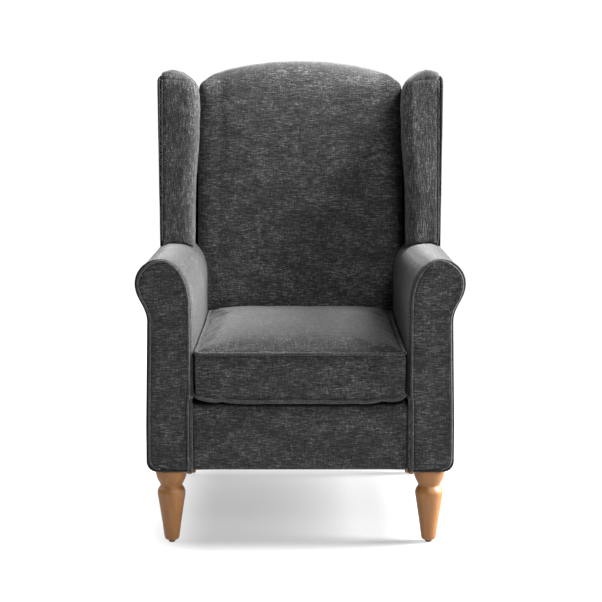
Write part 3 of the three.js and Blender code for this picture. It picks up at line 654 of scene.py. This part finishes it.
def tube(name, route, radius, closed=False):
    """A round cord of cloth along a route, with rounded ends where it is open."""
    sides = 10
    points = [Vector(p) for p in route]
    count = len(points)
    rings = []
    across = None
    for index, point in enumerate(points):
        before = points[index - 1] if index or closed else point
        after = points[(index + 1) % count] if index + 1 < count or closed else point
        along = (after - before).normalized()
        if across is None:
            across = along.orthogonal().normalized()
        across = (across - along * across.dot(along)).normalized()
        other = along.cross(across)
        end = 0 if closed else min(index, count - 1 - index)
        size = radius if closed or end > 1 else radius * (0.55, 0.9)[end]
        angles = (2 * math.pi * k / sides for k in range(sides))
        rings += [point + (across * math.cos(a) + other * math.sin(a)) * size for a in angles]
    return new_piece(name, rings, ring_faces(count, sides, closed))


def blocks(name, centres, size):
    """Many small blocks along x with drawn-in ends, as one piece."""
    half_x, half_y, half_z = (value / 2 for value in size)
    sections = ((-1, 0.7), (-0.8, 1), (0.8, 1), (1, 0.7))
    corners = ((-1, -1), (1, -1), (1, 1), (-1, 1))
    quads = ring_faces(len(sections), len(corners))
    vertices = []
    faces = []
    for x, y, z in centres:
        faces += [tuple(len(vertices) + index for index in quad) for quad in quads]
        for end, drawn in sections:
            for a, b in corners:
                vertices.append((x + end * half_x, y - a * half_y * drawn, z + b * half_z * drawn))
    mesh = bpy.data.meshes.new(name)
    mesh.from_pydata(vertices, [], faces)
    return linked(name, mesh)


def rounded_ring(a, b, half_a, half_b, corner, steps=2):
    """A rectangle with rounded corners round the point (a, b)."""
    ring = []
    for turn, (side_a, side_b) in enumerate([(1, 1), (-1, 1), (-1, -1), (1, -1)]):
        for k in range(steps + 1):
            angle = math.radians(90 * turn + 90 * k / steps)
            ring.append((a + side_a * (half_a - corner) + corner * math.cos(angle),
                         b + side_b * (half_b - corner) + corner * math.sin(angle)))
    return ring


def beam(name, low, high, corner):
    """A straight rail along y with eased edges and ends."""
    x, z = (low[0] + high[0]) / 2, (low[2] + high[2]) / 2
    half_x, half_z = (high[0] - low[0]) / 2, (high[2] - low[2]) / 2
    rings = []
    for y, drawn in ((low[1], mm), (low[1] + mm, 0), (high[1] - mm, 0), (high[1], mm)):
        ring = rounded_ring(x, z, half_x - drawn, half_z - drawn, corner)
        rings.append([Vector((a, y, b)) for a, b in ring])
    return lofted(name, rings)


def finished(piece, material, body="chair", nodes=()):
    """Smooth shading, one material, the piece put under its body and the CAD parts that it replaces
    hidden.
    """
    piece.data.materials.clear()
    piece.data.materials.append(material)
    piece.data.polygons.foreach_set("use_smooth", [True] * len(piece.data.polygons))
    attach(piece, body)
    if nodes:
        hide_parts(*nodes)
    return piece


def seam_shade(piece, routes, reach, amount=0.85):
    """Stores painted shade at each point near the routes: the cloth's colour is darkened there to stand
    in for the shadow in a seam, groove or crease.
    """
    route = [point for line in routes for point in dense(line, 2 * mm)]
    away = distance_to(vertices_of(piece), route)
    mesh = piece.data
    layer = mesh.attributes.get("seam") or mesh.attributes.new("seam", "FLOAT", "POINT")
    stored = np.empty(len(mesh.vertices), np.float32)
    layer.data.foreach_get("value", stored)
    shade = amount * np.exp(-((away / reach) ** 2))
    layer.data.foreach_set("value", np.maximum(stored, shade).astype(np.float32))


def both(name):
    """The left and right piece of a name, each with the sign of x on its side."""
    return [(side, sign, name + "_" + side) for side, sign in (("left", -1), ("right", 1))]


def eased_share(value):
    """0 up to 0 and 1 from 1, eased between."""
    value = np.clip(value, 0, 1)
    return value * value * (3 - 2 * value)


def arc(centre_x, centre_z, radius_x, radius_z, first, last, steps):
    turns = [math.radians(first + (last - first) * k / steps) for k in range(steps + 1)]
    return [(centre_x + radius_x * math.cos(a), centre_z + radius_z * math.sin(a)) for a in turns]


def bezier(ends, steps):
    """Points along a cubic curve between the first and last of four ends."""
    a, b, c, d = (Vector(point) for point in ends)
    points = []
    for k in range(steps + 1):
        u = k / steps
        near = a * (1 - u) ** 3 + b * 3 * u * (1 - u) ** 2
        points.append(tuple(near + c * 3 * u * u * (1 - u) + d * u ** 3))
    return points


# Arms

def scroll_outline(inset, foot_inset=None):
    """The arm's front outline as (x, z), from its inner foot up over the scroll to its outer foot."""
    foot = facing_foot + (inset if foot_inset is None else foot_inset)
    inner, outer = scroll_inner + inset, scroll_outer - inset
    neck, wide = neck_outer - inset, panel_wide - inset
    bottom = facing_bottom + inset
    inner_rise, outer_rise = scroll_inner_rise - inset, scroll_outer_rise - inset
    inner_spring, outer_spring = arm_top - scroll_inner_rise, arm_top - scroll_outer_rise
    points = [(foot, bottom), (foot, facing_foot_top - 8 * mm), (inner, facing_foot_top + 6 * mm)]
    points += arc(scroll_crown, inner_spring, scroll_crown - inner, inner_rise, 180, 90, 24)
    points += arc(scroll_crown, outer_spring, outer - scroll_crown, outer_rise, 90, 0, 18)[1:]
    down = [(outer, outer_spring), (outer, outer_spring - neck_reach),
            (neck, neck_height + neck_reach), (neck, neck_height)]
    points += bezier(down, 14)[1:]
    points += [(wide, panel_wide_height), (wide, bottom + foot_round)]
    points += arc(wide - foot_round, bottom + foot_round, foot_round, foot_round, 0, -90, 8)[1:]
    return points


def depth_place(depth):
    """The y coordinate of a depth behind the arms' front plane."""
    return cad_front + depth


def placed(points, depth, sign=1):
    """Points of a front view set at a depth, on the side that the sign gives."""
    return [Vector((sign * x, depth_place(depth), z)) for x, z in points]


def facing_line(inner_inset, outer_inset, foot_inset=None):
    """The arm's outline drawn in by one inset over the inner side, another over the outer roll."""
    inner = scroll_outline(inner_inset, foot_inset)
    outer = scroll_outline(outer_inset, foot_inset)
    line = []
    for index, (first, second) in enumerate(zip(inner, outer)):
        share = eased_share((index - scroll_crown_point) / scroll_ease_points)
        line.append(tuple(a + (b - a) * share for a, b in zip(first, second)))
    return line


def domed_panel(name, shape):
    """A padded flat panel: rounded rim, and a front that swells away from its edge."""
    ends = [placed(shape, facing_near), placed(shape, facing_far)]
    panel = remeshed(lofted(name, ends), 2.6 * mm, 4)
    places = vertices_of(panel)
    edge = dense([(x, 0, z) for x, z in shape], 3 * mm, closed=True)
    away = distance_to(places * (1, 0, 1), edge)
    front_side = places[:, 1] < depth_place((facing_near + facing_far) / 2)
    places[:, 1] -= facing_dome * (1 - np.exp(-away / facing_dome_reach)) * front_side
    set_vertices(panel, places)
    return panel


def facings():
    """The scroll panels at the arms' fronts, the piping round them and the arm cover's turned edge."""
    sections = [(facing_line(inner, outer), depth) for inner, outer, depth in turned_edge]
    for side, sign, node in both("arm_facing"):
        shape = [(sign * x, z) for x, z in facing_line(*panel_insets, facing_band)]
        panel = domed_panel("facing_cover_" + side, shape)
        seam_shade(panel, [placed(shape[:2], facing_near)], 3.2 * mm)
        finished(panel, weave, nodes=[node])

        line = placed(facing_line(*piping_insets, facing_band - 2 * mm), piping_depth, sign)
        cord = tube("facing_piping_" + side, eased(dense(line, 4 * mm), 3), piping_radius)
        finished(cord, piping_weave_painted_light)

        rings = []
        for k in range(2, len(shape)):
            rings.append([placed([outline[k]], depth, sign)[0] for outline, depth in sections])
        rings.append([Vector((shape[0][0], point.y, point.z)) for point in rings[-1]])
        rim = lofted("arm_front_roll_" + side, rings)
        seam_shade(rim, [[ring[k] for ring in rings] for k in turned_edge_groove], 2.8 * mm, 0.95)
        finished(rim, weave)

        band = []
        for z in foot_band_heights:
            band.append([Vector((sign * x, depth_place(depth), z)) for x, depth in foot_band])
        strip = subdivided(lofted("arm_foot_band_" + side, band), 2)
        ends = (facing_bottom, foot_band_heights[-1])
        edges = [placed([(x, z) for z in ends], facing_near, sign) for x in foot_band_sides]
        seam_shade(strip, edges, 2 * mm)
        finished(strip, turned_weave)


def arm_frame():
    """The wood in the arms: the boards cut to the scroll and the rails, just clear of the cloth."""
    for side, sign, node in both("arm_front_board"):
        rings = [placed(scroll_outline(inset), depth, sign) for inset, depth in board_sections]
        board = lofted("arm_front_board_shaped_" + side, rings)
        finished(board, sawn, nodes=[node])
    for side, _, node in both("arm_rail"):
        low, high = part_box(node)
        cut = (high[0], high[1] - arm_rail_cut, high[2])
        rail = beam("arm_rail_shaped_" + side, low, cut, 2.5 * mm)
        finished(rail, sawn, nodes=[node])


def arm_covers():
    """The inside arm pads that roll over the arms, the flat outside panels and the tucks behind."""
    for side, sign, name in both("arm_rear_tuck"):
        edges = sorted((sign * tuck_inner, sign * tuck_outer))
        low, high = (edges[0], tuck_near, tuck_bottom), (edges[1], tuck_far, tuck_top)
        finished(remeshed(beam(name, low, high, 4 * mm), 4 * mm, 2), weave)
    for side, sign, node in both("inside_arm_pad"):
        arm = cover_of("arm_cover_" + side, node, 6 * mm, 8)
        inflated(arm, 3, 1.2 * mm)
        subdivided(arm)
        seam_shade(arm, [placed(scroll_outline(0)[2:], 13 * mm, sign)], 3 * mm)
        finished(arm, close_weave, nodes=[node])
    for side, sign, node in both("outside_arm_panel"):
        panel = remeshed(copied("arm_outer_cover_" + side, node), 3 * mm, 4)
        x = panel_wide + 0.4 * mm
        seam = placed([(x, z) for z in outer_seam_heights], outer_seam_depth, sign)
        pinch(panel, seam, 4 * mm, 1 * mm)
        seam_shade(panel, [seam], 3 * mm, 0.6)
        finished(panel, weave, nodes=[node])


# Seat cushion

def cushion_edge_at(depth):
    return cushion_edge + cushion_edge_rise * (1 - np.exp(-depth / cushion_edge_reach))


def arm_pad_inner_at(depth):
    return arm_pad_rear + arm_pad_flare * np.exp((board_front - depth) / arm_pad_flare_length)


def cushion_place(across, along, up, inset=0.0):
    """A point of the cushion's cover; across, along and up run from -1 to 1."""
    middle = (cushion_front + cushion_rear) / 2
    half = (cushion_rear - cushion_front) / 2 - inset
    drawn = cushion_draw * np.maximum(0, -along) * (1 - across ** 2)
    depth = middle + along * half + drawn
    side = arm_pad_inner_at(depth) - cushion_side_gap - inset
    rear_crown = np.maximum(0, along) * cushion_rear_crown
    lengthwise = cushion_crown * (1 - along ** 4) + rear_crown * along ** 4
    top = cushion_edge_at(depth) + lengthwise * (1 - across ** 4) - inset
    bottom = cushion_bottom + cushion_corner_lift * across ** 8 + inset
    return np.stack([across * side, depth_place(depth), bottom + (top - bottom) * (up + 1) / 2], -1)


def cushion_loop(up):
    """The seam round the cushion's top or bottom edge, with rounded corners in plan."""
    corner = cushion_corner / ((cushion_rear - cushion_front) / 2)
    square = []
    for turn, (side_x, side_y) in enumerate([(1, -1), (1, 1), (-1, 1), (-1, -1)]):
        for k in range(9):
            angle = math.radians(-90 + 90 * turn + 90 * k / 8)
            square.append((side_x * (1 - corner) + corner * math.cos(angle),
                           side_y * (1 - corner) + corner * math.sin(angle), 0))
    loop = []
    for point in dense(square, 0.02, closed=True):
        x, y = point.x, point.y
        place = cushion_place(np.array(x), np.array(y), np.array(up))
        wave = seam_wave * math.sin(31 * x + 17 * y) * math.sin(11 * y - 7 * x + 1)
        if up > 0:
            place[2] = cushion_edge_at(place[1] - cad_front)
        place[2] += wave - up * cushion_piping_radius * 0.6
        place[:2] *= 1 - 1.5 * mm / abs(place[:2]).max()
        loop.append(Vector(place))
    return loop


def cushion_form(name, inset):
    """The cushion's plain form, less an inset, from a cube of finely divided faces."""
    work = bmesh.new()
    bmesh.ops.create_cube(work, size=2)
    bmesh.ops.subdivide_edges(work, edges=work.edges, cuts=23, use_grid_fill=True)
    mesh = bpy.data.meshes.new(name)
    work.to_mesh(mesh)
    work.free()
    piece = linked(name, mesh)
    unit = vertices_of(piece)
    spread = np.sin(unit * math.pi / 2)
    set_vertices(piece, cushion_place(spread[:, 0], spread[:, 1], unit[:, 2], inset))
    return piece


def flatten_at_zip(cover):
    """Holds the cover's rear side to a plane, drawn in a little along the zip."""
    places = vertices_of(cover)
    band = np.exp(-(((places[:, 2] - zip_height) / zip_band) ** 2))
    band *= abs(places[:, 0]) < zip_half + 6 * mm
    rear = places[:, 1] > depth_place(cushion_rear - 30 * mm)
    plane = zip_plane + 3 * mm * (1 - band)
    places[:, 1] = np.where(rear, np.minimum(places[:, 1], plane), places[:, 1])
    set_vertices(cover, places)


def cushion():
    """The loose cushion: a swollen cover with piping round its top and bottom, and foam inside it."""
    cover = remeshed(cushion_form("cushion_cover", cushion_slack), 6 * mm, 3)
    normals = normals_of(cover)
    room = np.where(abs(normals[:, 0]) > 0.6, cushion_room_sides, cushion_room_ends)
    room = np.where(normals[:, 2] > 0.5, cushion_room_top, room)
    room = np.where(normals[:, 2] < -0.5, cushion_room_bottom, room)
    inflated(cover, 4, room[:, None])
    subdivided(cover)
    flatten_at_zip(cover)
    seams = [cushion_loop(1), cushion_loop(-1)]
    for seam in seams:
        pinch(cover, seam + seam[:1], 10 * mm, 3 * mm)
    seam_shade(cover, [seam + seam[:1] for seam in seams], 7 * mm)
    finished(cover, weave, body="seat_cushion", nodes=["seat_cushion_cover"])
    for name, seam in zip(("cushion_piping_top", "cushion_piping_bottom"), seams):
        route = eased(laid_on(cover, seam, cushion_piping_radius * 0.9), 4, closed=True)
        cord = tube(name, route, cushion_piping_radius, closed=True)
        finished(cord, piping_weave_painted_light, body="seat_cushion")
    core = remeshed(cushion_form("cushion_foam", 9 * mm), 8 * mm, 2)
    finished(core, finishes["foam"], "seat_cushion", nodes=["seat_cushion_core"])


# Back, wings, border and deck

def inside_back():
    """The padded back, full nearly to its edges."""
    cover = cover_of("inside_back_cover", "inside_back_pad", 6 * mm, 12)
    places = vertices_of(cover)
    normals = normals_of(cover)
    places[:, 1] -= back_fill(cover, places)
    set_vertices(cover, places)
    room = np.where(normals[:, 1] < -0.3, 3 * mm, 0.6 * mm)
    inflated(cover, 3, room[:, None])
    subdivided(cover)
    finished(cover, back_weave_painted_light, nodes=["inside_back_pad"])


def back_fill(cover, places):
    """How far forward each point goes, so that the back stays nearly flat up to a rounded edge."""
    surface = BVHTree.FromObject(cover, bpy.context.evaluated_depsgraph_get())

    def front_at(x, z):
        hit = surface.ray_cast(Vector((x, -1, z)), Vector((0, 1, 0)))[0]
        return hit.y if hit else None

    fill = np.zeros(len(places))
    for index, (x, y, z) in enumerate(places):
        if abs(x) < back_flat_half:
            continue
        here = front_at(x, z)
        flat = front_at(math.copysign(back_flat_half, x), z)
        if flat is None:
            continue
        here = y if here is None else here
        over = min(1, max(0, abs(x) - back_edge_start) / back_edge_radius)
        wanted = flat + back_edge_radius * (1 - math.sqrt(1 - over * over))
        share = float(eased_share((y - here) / back_fill_depth))
        fill[index] = max(0, here - wanted) * (1 - share)
    return neighbour_mean(cover, fill[:, None], 2)[:, 0]


def outside_back():
    """The flat outside back with the piping round it, and the cloth over the top rail."""
    rear = cover_of("back_outer_cover", "outside_back_panel", 3.5 * mm, 3)
    edge = rear_rim("outside_back_panel")
    seam_shade(rear, [edge + edge[:1]], 4.5 * mm, 0.7)
    finished(rear, weave, nodes=["outside_back_panel"])
    wrap = remeshed(copied("top_rail_wrap", "back_top_rail"), 4 * mm, 1)
    set_vertices(wrap, vertices_of(wrap) + normals_of(wrap) * 1.6 * mm)
    finished(wrap, weave)
    finished(tube("back_piping", edge, piping_radius, closed=True), piping_weave_painted_light)


def rear_rim(node):
    """The edge round a node's rear face, as one closed route."""
    mesh = frame["nodes"][node].data
    faces = [face for face in mesh.polygons if face.normal.y > 0.9]
    key = {v.index: tuple(round(c, 5) for c in v.co) for v in mesh.vertices}
    uses = {}
    for face in faces:
        corners = [key[index] for index in face.vertices]
        for first, second in zip(corners, corners[1:] + corners[:1]):
            uses.setdefault(frozenset((first, second)), []).append((first, second))
    following = {pairs[0][0]: pairs[0][1] for pairs in uses.values() if len(pairs) == 1}
    start = point = min(following)
    route = []
    while not route or point != start:
        route.append(Vector(point))
        point = following[point]
    return eased(dense(route, 6 * mm, closed=True), 4, closed=True)


def wing_front(height):
    """The y coordinate of the wings' leaning front at a height."""
    return depth_place(wing_front_base + (height - arm_top) * wing_lean)


def shape_wing_top(wing, sign):
    """Lifts the wing's top at its outer side, lets it fall to the rear and fills its inner shoulder."""
    places = vertices_of(wing)
    crown = wing_crown_lift * np.tanh((abs(places[:, 0]) - wing_crown_middle) / wing_crown_ease)
    crown -= wing_rear_fall * eased_share((places[:, 1] - wing_fall_start) / wing_fall_length)
    places[:, 2] += crown * eased_share((places[:, 2] - wing_crown_bottom) / wing_crown_blend)
    inner = np.clip(-1.7 * sign * normals_of(wing)[:, 0], 0, 1)
    inner *= eased_share((wing_shoulder_outer - abs(places[:, 0])) / wing_shoulder_blend)
    high_up = np.exp(-(((places[:, 2] - wing_shoulder_height) / wing_shoulder_reach) ** 2))
    places[:, 0] -= sign * wing_shoulder * inner * high_up
    set_vertices(wing, places)


def wings():
    """The wing pads with their cap seams and front piping, and the outside wing panels."""
    for side, sign, node in both("inside_wing_pad"):
        wing = cover_of("wing_cover_" + side, node, 5 * mm, 8, passes=4)
        shape_wing_top(wing, sign)
        inflated(wing, 3, 1 * mm)
        subdivided(wing)
        seam = sign * (wing_outer - wing_seam_inset)
        upright = [Vector((seam, wing_front(z), z)) for z in np.arange(*wing_seam_heights)]
        y = wing_front(wing_cap_height) + 1 * mm
        cap = [Vector((sign * x, y, wing_cap_height)) for x in np.arange(*wing_cap_sides)]
        upright = laid_on(wing, upright, 0)
        cap = laid_on(wing, cap, 0)
        pinch(wing, cap, 4 * mm, 1.6 * mm)
        pinch(wing, upright, 4 * mm, 1 * mm)
        seam_shade(wing, [cap], 2.6 * mm, 0.8)
        seam_shade(wing, [upright], 3.6 * mm, 0.8)
        finished(wing, turned_weave, nodes=[node])
        route = eased(laid_on(wing, upright, 1 * mm), 6)
        finished(tube("wing_piping_" + side, route, wing_piping_radius), piping_weave_painted_light)
    for side, sign, node in both("outside_wing_panel"):
        panel = remeshed(copied("wing_outer_cover_" + side, node), 2 * mm, 3)
        x = sign * wing_panel_outer
        edge = [Vector((x, wing_front(z) + 1 * mm, z)) for z in np.arange(*wing_panel_heights)]
        seam_shade(panel, [edge], 5 * mm, 0.8)
        finished(panel, turned_weave, nodes=[node])


def border():
    """The padded border under the cushion, just clear of the facings."""
    front = cover_of("border_cover", "front_border", 5 * mm, 4, passes=3)
    inflated(front, 3, 1 * mm)
    subdivided(front)
    places = vertices_of(front)
    places[:, 0] *= border_half / abs(places[:, 0]).max()
    set_vertices(front, places)
    finished(front, weave, nodes=["front_border"])


def deck():
    """The flat cloth-covered bed under the cushion, with a seam behind its front strip."""
    low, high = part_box("seat_deck")
    bed = remeshed(copied("deck_cover", "seat_deck"), 5 * mm, 4)
    seam = [Vector((x, low[1] + deck_strip, high[2])) for x in np.arange(low[0], high[0], 0.01)]
    pinch(bed, seam, 6 * mm, 2 * mm)
    seam_shade(bed, [seam], 4 * mm)
    finished(bed, close_weave, nodes=["seat_deck"])


# Zip and underside

def zip_piece(piece, body="seat_cushion", nodes=()):
    finished(piece, finishes["zip"], body=body, nodes=nodes)


def zip_fastener():
    """The cushion's zip: two tapes with stitched edges, interlocked teeth and end stops."""
    low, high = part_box("cushion_zip")
    near, far = low[1], high[1]
    middle = (low[2] + high[2]) / 2
    for name, side in (("zip_tape_lower", -1), ("zip_tape_upper", 1)):
        edge = middle + side * zip_tape_half
        centre = middle + side * zip_tape_gap
        rings = []
        for x in np.arange(low[0], high[0] + 0.1 * mm, zip_tape_step):
            ripple = zip_ripple * math.sin(x * 190)
            profile = (
                (far - 0.5 * mm, edge), (far - 0.1 * mm, edge - side * 0.5 * mm),
                (far - 0.2 * mm + ripple, (edge + centre) / 2), (far - 0.1 * mm, centre),
                (near + 0.2 * mm, centre), (near + 0.2 * mm, edge))
            rings.append([Vector((x, y, z)) for y, z in profile])
        zip_piece(lofted(name, rings))
    teeth = []
    for index, x in enumerate(np.arange(low[0] + 4 * mm, high[0] - 3 * mm, tooth_pitch)):
        teeth.append((x, far + 0.15 * mm, middle + (tooth_offset if index % 2 else -tooth_offset)))
    zip_piece(blocks("zip_teeth", teeth, tooth_size), nodes=["cushion_zip"])
    ends = [(x, far + 0.1 * mm, middle) for x in (low[0] + 2 * mm, high[0] - 2 * mm)]
    zip_piece(blocks("zip_stops", ends, stop_size))


def slider_part(name, sections, y, half_y, corner, nodes=()):
    """A piece of rounded sections along the slider: place, share of the width, share of the depth."""
    low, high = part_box("zip_slider")
    middle, half_z = (low[2] + high[2]) / 2, (high[2] - low[2]) / 2
    rings = []
    for along, wide, deep in sections:
        ring = rounded_ring(y, middle, half_y * deep, half_z * wide, corner)
        rings.append([Vector((low[0] + along * mm, a, b)) for a, b in ring])
    zip_piece(subdivided(lofted(name, rings)), "slider", nodes)


def zip_slider():
    """The slider's body, the bridge over it and the pull."""
    low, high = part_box("zip_slider")
    shell = ((0, 0.45, 0.65), (0.3, 0.62, 0.82), (1.5, 0.72, 0.92), (4, 0.85, 1), (7, 0.98, 1),
             (8.2, 0.94, 1), (9, 0.7, 0.9))
    slider_part("zip_slider_body", shell, low[1] + 0.8 * mm, 0.8 * mm, 0.5 * mm, ["zip_slider"])
    arch = ((2.0, 1.5), (2.2, 2.1), (3.2, 2.45), (4.8, 2.5), (6.2, 2.4), (7.0, 2.0), (7.2, 1.5))
    middle = (low[2] + high[2]) / 2
    route = [Vector((low[0] + along * mm, low[1] + lift * mm, middle)) for along, lift in arch]
    zip_piece(tube("zip_slider_bridge", route, 0.45 * mm), "slider")
    pull = ((3.2, 0.2, 1), (3.6, 0.28, 1), (5, 0.26, 1), (8, 0.3, 1), (11, 0.34, 1),
            (12.4, 0.3, 1), (12.9, 0.18, 1))
    slider_part("zip_pull", pull, high[1] - 0.45 * mm, 0.4 * mm, 0.25 * mm)


def leg_openings():
    """The dust cover's cut-out round each leg: its middle, half its width and whether it is round."""
    openings = []
    for _, _, node in both("front_leg"):
        low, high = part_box(node)
        half = (high[0] - low[0]) / 2 + 2 * mm
        openings.append(((low[0] + high[0]) / 2, (low[1] + high[1]) / 2, half, True))
    for _, _, node in both("rear_leg"):
        low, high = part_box(node)
        openings.append(((low[0] + high[0]) / 2, rear_top[1], rear_leg_opening, False))
    return openings


def in_opening(x, y, openings):
    for middle_x, middle_y, half, is_round in openings:
        if is_round and math.hypot(x - middle_x, y - middle_y) < half:
            return True
        if not is_round and abs(x - middle_x) < half and y > middle_y - half:
            return True
    return False


def drawn_to_opening(x, y, openings):
    """The point, or where it is next to an opening, the nearest point of that opening's edge."""
    for middle_x, middle_y, half, is_round in openings:
        across = x - middle_x
        away = math.hypot(across, y - middle_y)
        if is_round and away < half + dust_cover_step:
            x, y = middle_x + across * half / away, middle_y + (y - middle_y) * half / away
        beside = abs(abs(across) - half) < dust_cover_step * 0.55
        if not is_round and beside and y > middle_y - half:
            x = middle_x + math.copysign(half, across)
    return x, y


def dust_cover():
    """The thin felted cloth stapled under the frame, cut round the four legs and hanging slightly."""
    low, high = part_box("dust_cover")
    across = np.linspace(low[0], high[0], round((high[0] - low[0]) / dust_cover_step) + 1)
    along = np.linspace(low[1], high[1], round((high[1] - low[1]) / dust_cover_step) + 1)
    openings = leg_openings()
    index = {}
    vertices = []
    faces = []

    def corner(i, k):
        if (i, k) not in index:
            x, y = drawn_to_opening(across[i], along[k], openings)
            y = min(max(y, low[1]), high[1])
            deep = max(0, 1 - ((y - dust_cover_middle) / dust_cover_half) ** 2)
            sag = max(0, 1 - (x / high[0]) ** 2) * deep
            ripple = dust_cover_ripple * math.sin(x * 41 + y * 17) * math.sin(y * 37 - x * 9)
            index[i, k] = len(vertices)
            vertices.append((x, y, high[2] - 0.6 * mm - (dust_cover_sag + ripple) * sag))
        return index[i, k]

    for i in range(len(across) - 1):
        for k in range(len(along) - 1):
            if not in_opening((across[i] + across[i + 1]) / 2, (along[k] + along[k + 1]) / 2, openings):
                faces.append((corner(i, k), corner(i + 1, k), corner(i + 1, k + 1), corner(i, k + 1)))
    cloth = new_piece("dust_cover_cloth", vertices, faces)
    thick = cloth.modifiers.new("thickness", "SOLIDIFY")
    thick.thickness = dust_cover_thickness
    apply_modifiers(cloth)
    finished(cloth, finishes["dust_cloth"], nodes=["dust_cover"])
    crowns = []
    for x in np.arange(-staple_row_half, staple_row_half + 1 * mm, staple_gap):
        for y in (low[1] + staple_row_inset, high[1] - staple_row_inset):
            crowns.append((x, y, high[2] - staple_depth))
    staples = blocks("dust_cover_staples", crowns, staple_size)
    finished(staples, finishes["steel"])


# Legs

def turned(name, profile, sides, x, y):
    """A turned piece from (radius, height) pairs, eased between them."""
    smooth = []
    for first, second in zip(np.array(profile), np.array(profile[1:])):
        smooth += [first + (second - first) * k / 3 for k in range(3)]
    radii = np.array(smooth + [profile[-1]])
    for _ in range(2):
        middle = (np.roll(radii, 1, 0) + 2 * radii + np.roll(radii, -1, 0)) / 4
        middle[:3], middle[-3:] = radii[:3], radii[-3:]
        radii = middle
    rings = []
    for radius, height in radii:
        turns = (2 * math.pi * k / sides for k in range(sides))
        rings.append([(x + radius * math.cos(a), y + radius * math.sin(a), height) for a in turns])
    return lofted(name, rings)


def legs():
    """The two turned front legs and the two raked, tapered rear legs."""
    profile = [(radius * mm, height * mm) for radius, height in leg_profile]
    for side, _, node in both("front_leg"):
        low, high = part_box(node)
        x, y = (low[0] + high[0]) / 2, (low[1] + high[1]) / 2
        leg = turned("turned_leg_" + side, profile, front_leg_sides, x, y)
        finished(leg, beech, nodes=[node])
    foot, top = np.array(rear_foot), np.array(rear_top)
    for side, sign, node in both("rear_leg"):
        rings = []
        for share in (0, 0.015, 0.03, 0.5, 0.99, 1):
            x, y, z = foot + (top - foot) * share
            half = rear_foot_half + (rear_top_half - rear_foot_half) * share
            if share in (0, 1):
                half -= rear_leg_ease
            ring = rounded_ring(sign * x, y, half, half, rear_leg_corner, steps=5)
            rings.append([Vector((a, b, z)) for a, b in ring])
        finished(lofted("rear_leg_shaped_" + side, rings), beech, nodes=[node])


# Floor, lights and camera

def stage():
    """A pale floor that glows like a lit studio table, with a painted shadow under the chair where its
    glow is dimmed.
    """
    ends = (-floor_half, floor_half)
    corners = [(ends[a], ends[b], 0) for a, b in ((0, 0), (1, 0), (1, 1), (0, 1))]
    floor = new_piece("floor", corners, [(0, 1, 2, 3)])
    s = Shader("pale_floor")
    x, y, _ = s.split("Object")
    across = s.math("ABSOLUTE", x)
    along = s.math("ABSOLUTE", s.math("ADD", y, 0.01))
    # Painted shadow: the floor's glow is dimmed by floor_shade inside a soft box under the chair.
    under = s.times(s.fade(across, *floor_shade_width), s.fade(along, *floor_shade_depth))
    speckle = s.noise(s.node("ShaderNodeTexCoord").outputs["Object"], 2, 0.5, 40)
    s.put("Base Color", s.ramp(speckle, [(0.3, (0.14,) * 3), (0.7, (0.15,) * 3)]))
    s.put("Roughness", 0.9)
    s.put("Emission Color", (1, 1, 1, 1))
    s.put("Emission Strength", s.math("SUBTRACT", 1.0, s.times(under, floor_shade)))
    floor.data.materials.append(s.material)


def area_light(name, place, target, size, power):
    """A square light that faces its target."""
    data = bpy.data.lights.new(name, "AREA")
    data.shape = "RECTANGLE"
    data.size = data.size_y = size
    data.energy = power
    lamp = linked(name, data)
    lamp.location = place
    lamp.rotation_euler = (target - place).to_track_quat("-Z", "Y").to_euler()


def lights():
    """A white studio with a low key from the front right, strong rims from the right and soft fills."""
    world = bpy.data.worlds.new("studio")
    bpy.context.scene.world = world
    world.use_nodes = True
    tree = world.node_tree
    room = tree.nodes["Background"]
    backdrop = tree.nodes.new("ShaderNodeBackground")
    for background, strength in ((room, room_light), (backdrop, backdrop_white)):
        background.inputs["Color"].default_value = (1, 1, 1, 1)
        background.inputs["Strength"].default_value = strength
    path = tree.nodes.new("ShaderNodeLightPath")
    mix = tree.nodes.new("ShaderNodeMixShader")
    tree.links.new(path.outputs["Is Camera Ray"], mix.inputs[0])
    tree.links.new(room.outputs[0], mix.inputs[1])
    tree.links.new(backdrop.outputs[0], mix.inputs[2])
    tree.links.new(mix.outputs[0], tree.nodes["World Output"].inputs["Surface"])
    target = Vector(light_target)
    for name, turn, rise, size, power in studio_lights:
        turn, rise = math.radians(turn), math.radians(rise)
        level = math.cos(rise)
        away = Vector((level * math.sin(turn), -level * math.cos(turn), math.sin(rise)))
        area_light(name, target + away * light_distance, target, size, power)


def camera():
    """The photograph's view, nearly level and square from the front."""
    data = bpy.data.cameras.new("camera")
    data.lens = camera_lens
    data.sensor_width = camera_sensor
    data.shift_x = camera_shift
    eye = linked("camera", data)
    eye.location = (0, camera_depth, camera_height)
    eye.rotation_euler = (math.radians(90 - camera_pitch), 0, 0)
    bpy.context.scene.camera = eye


facings()
arm_frame()
arm_covers()
inside_back()
outside_back()
wings()
border()
deck()
cushion()
zip_fastener()
zip_slider()
dust_cover()
legs()
stage()
lights()
camera()
bpy.context.scene.view_settings.view_transform = "Standard"
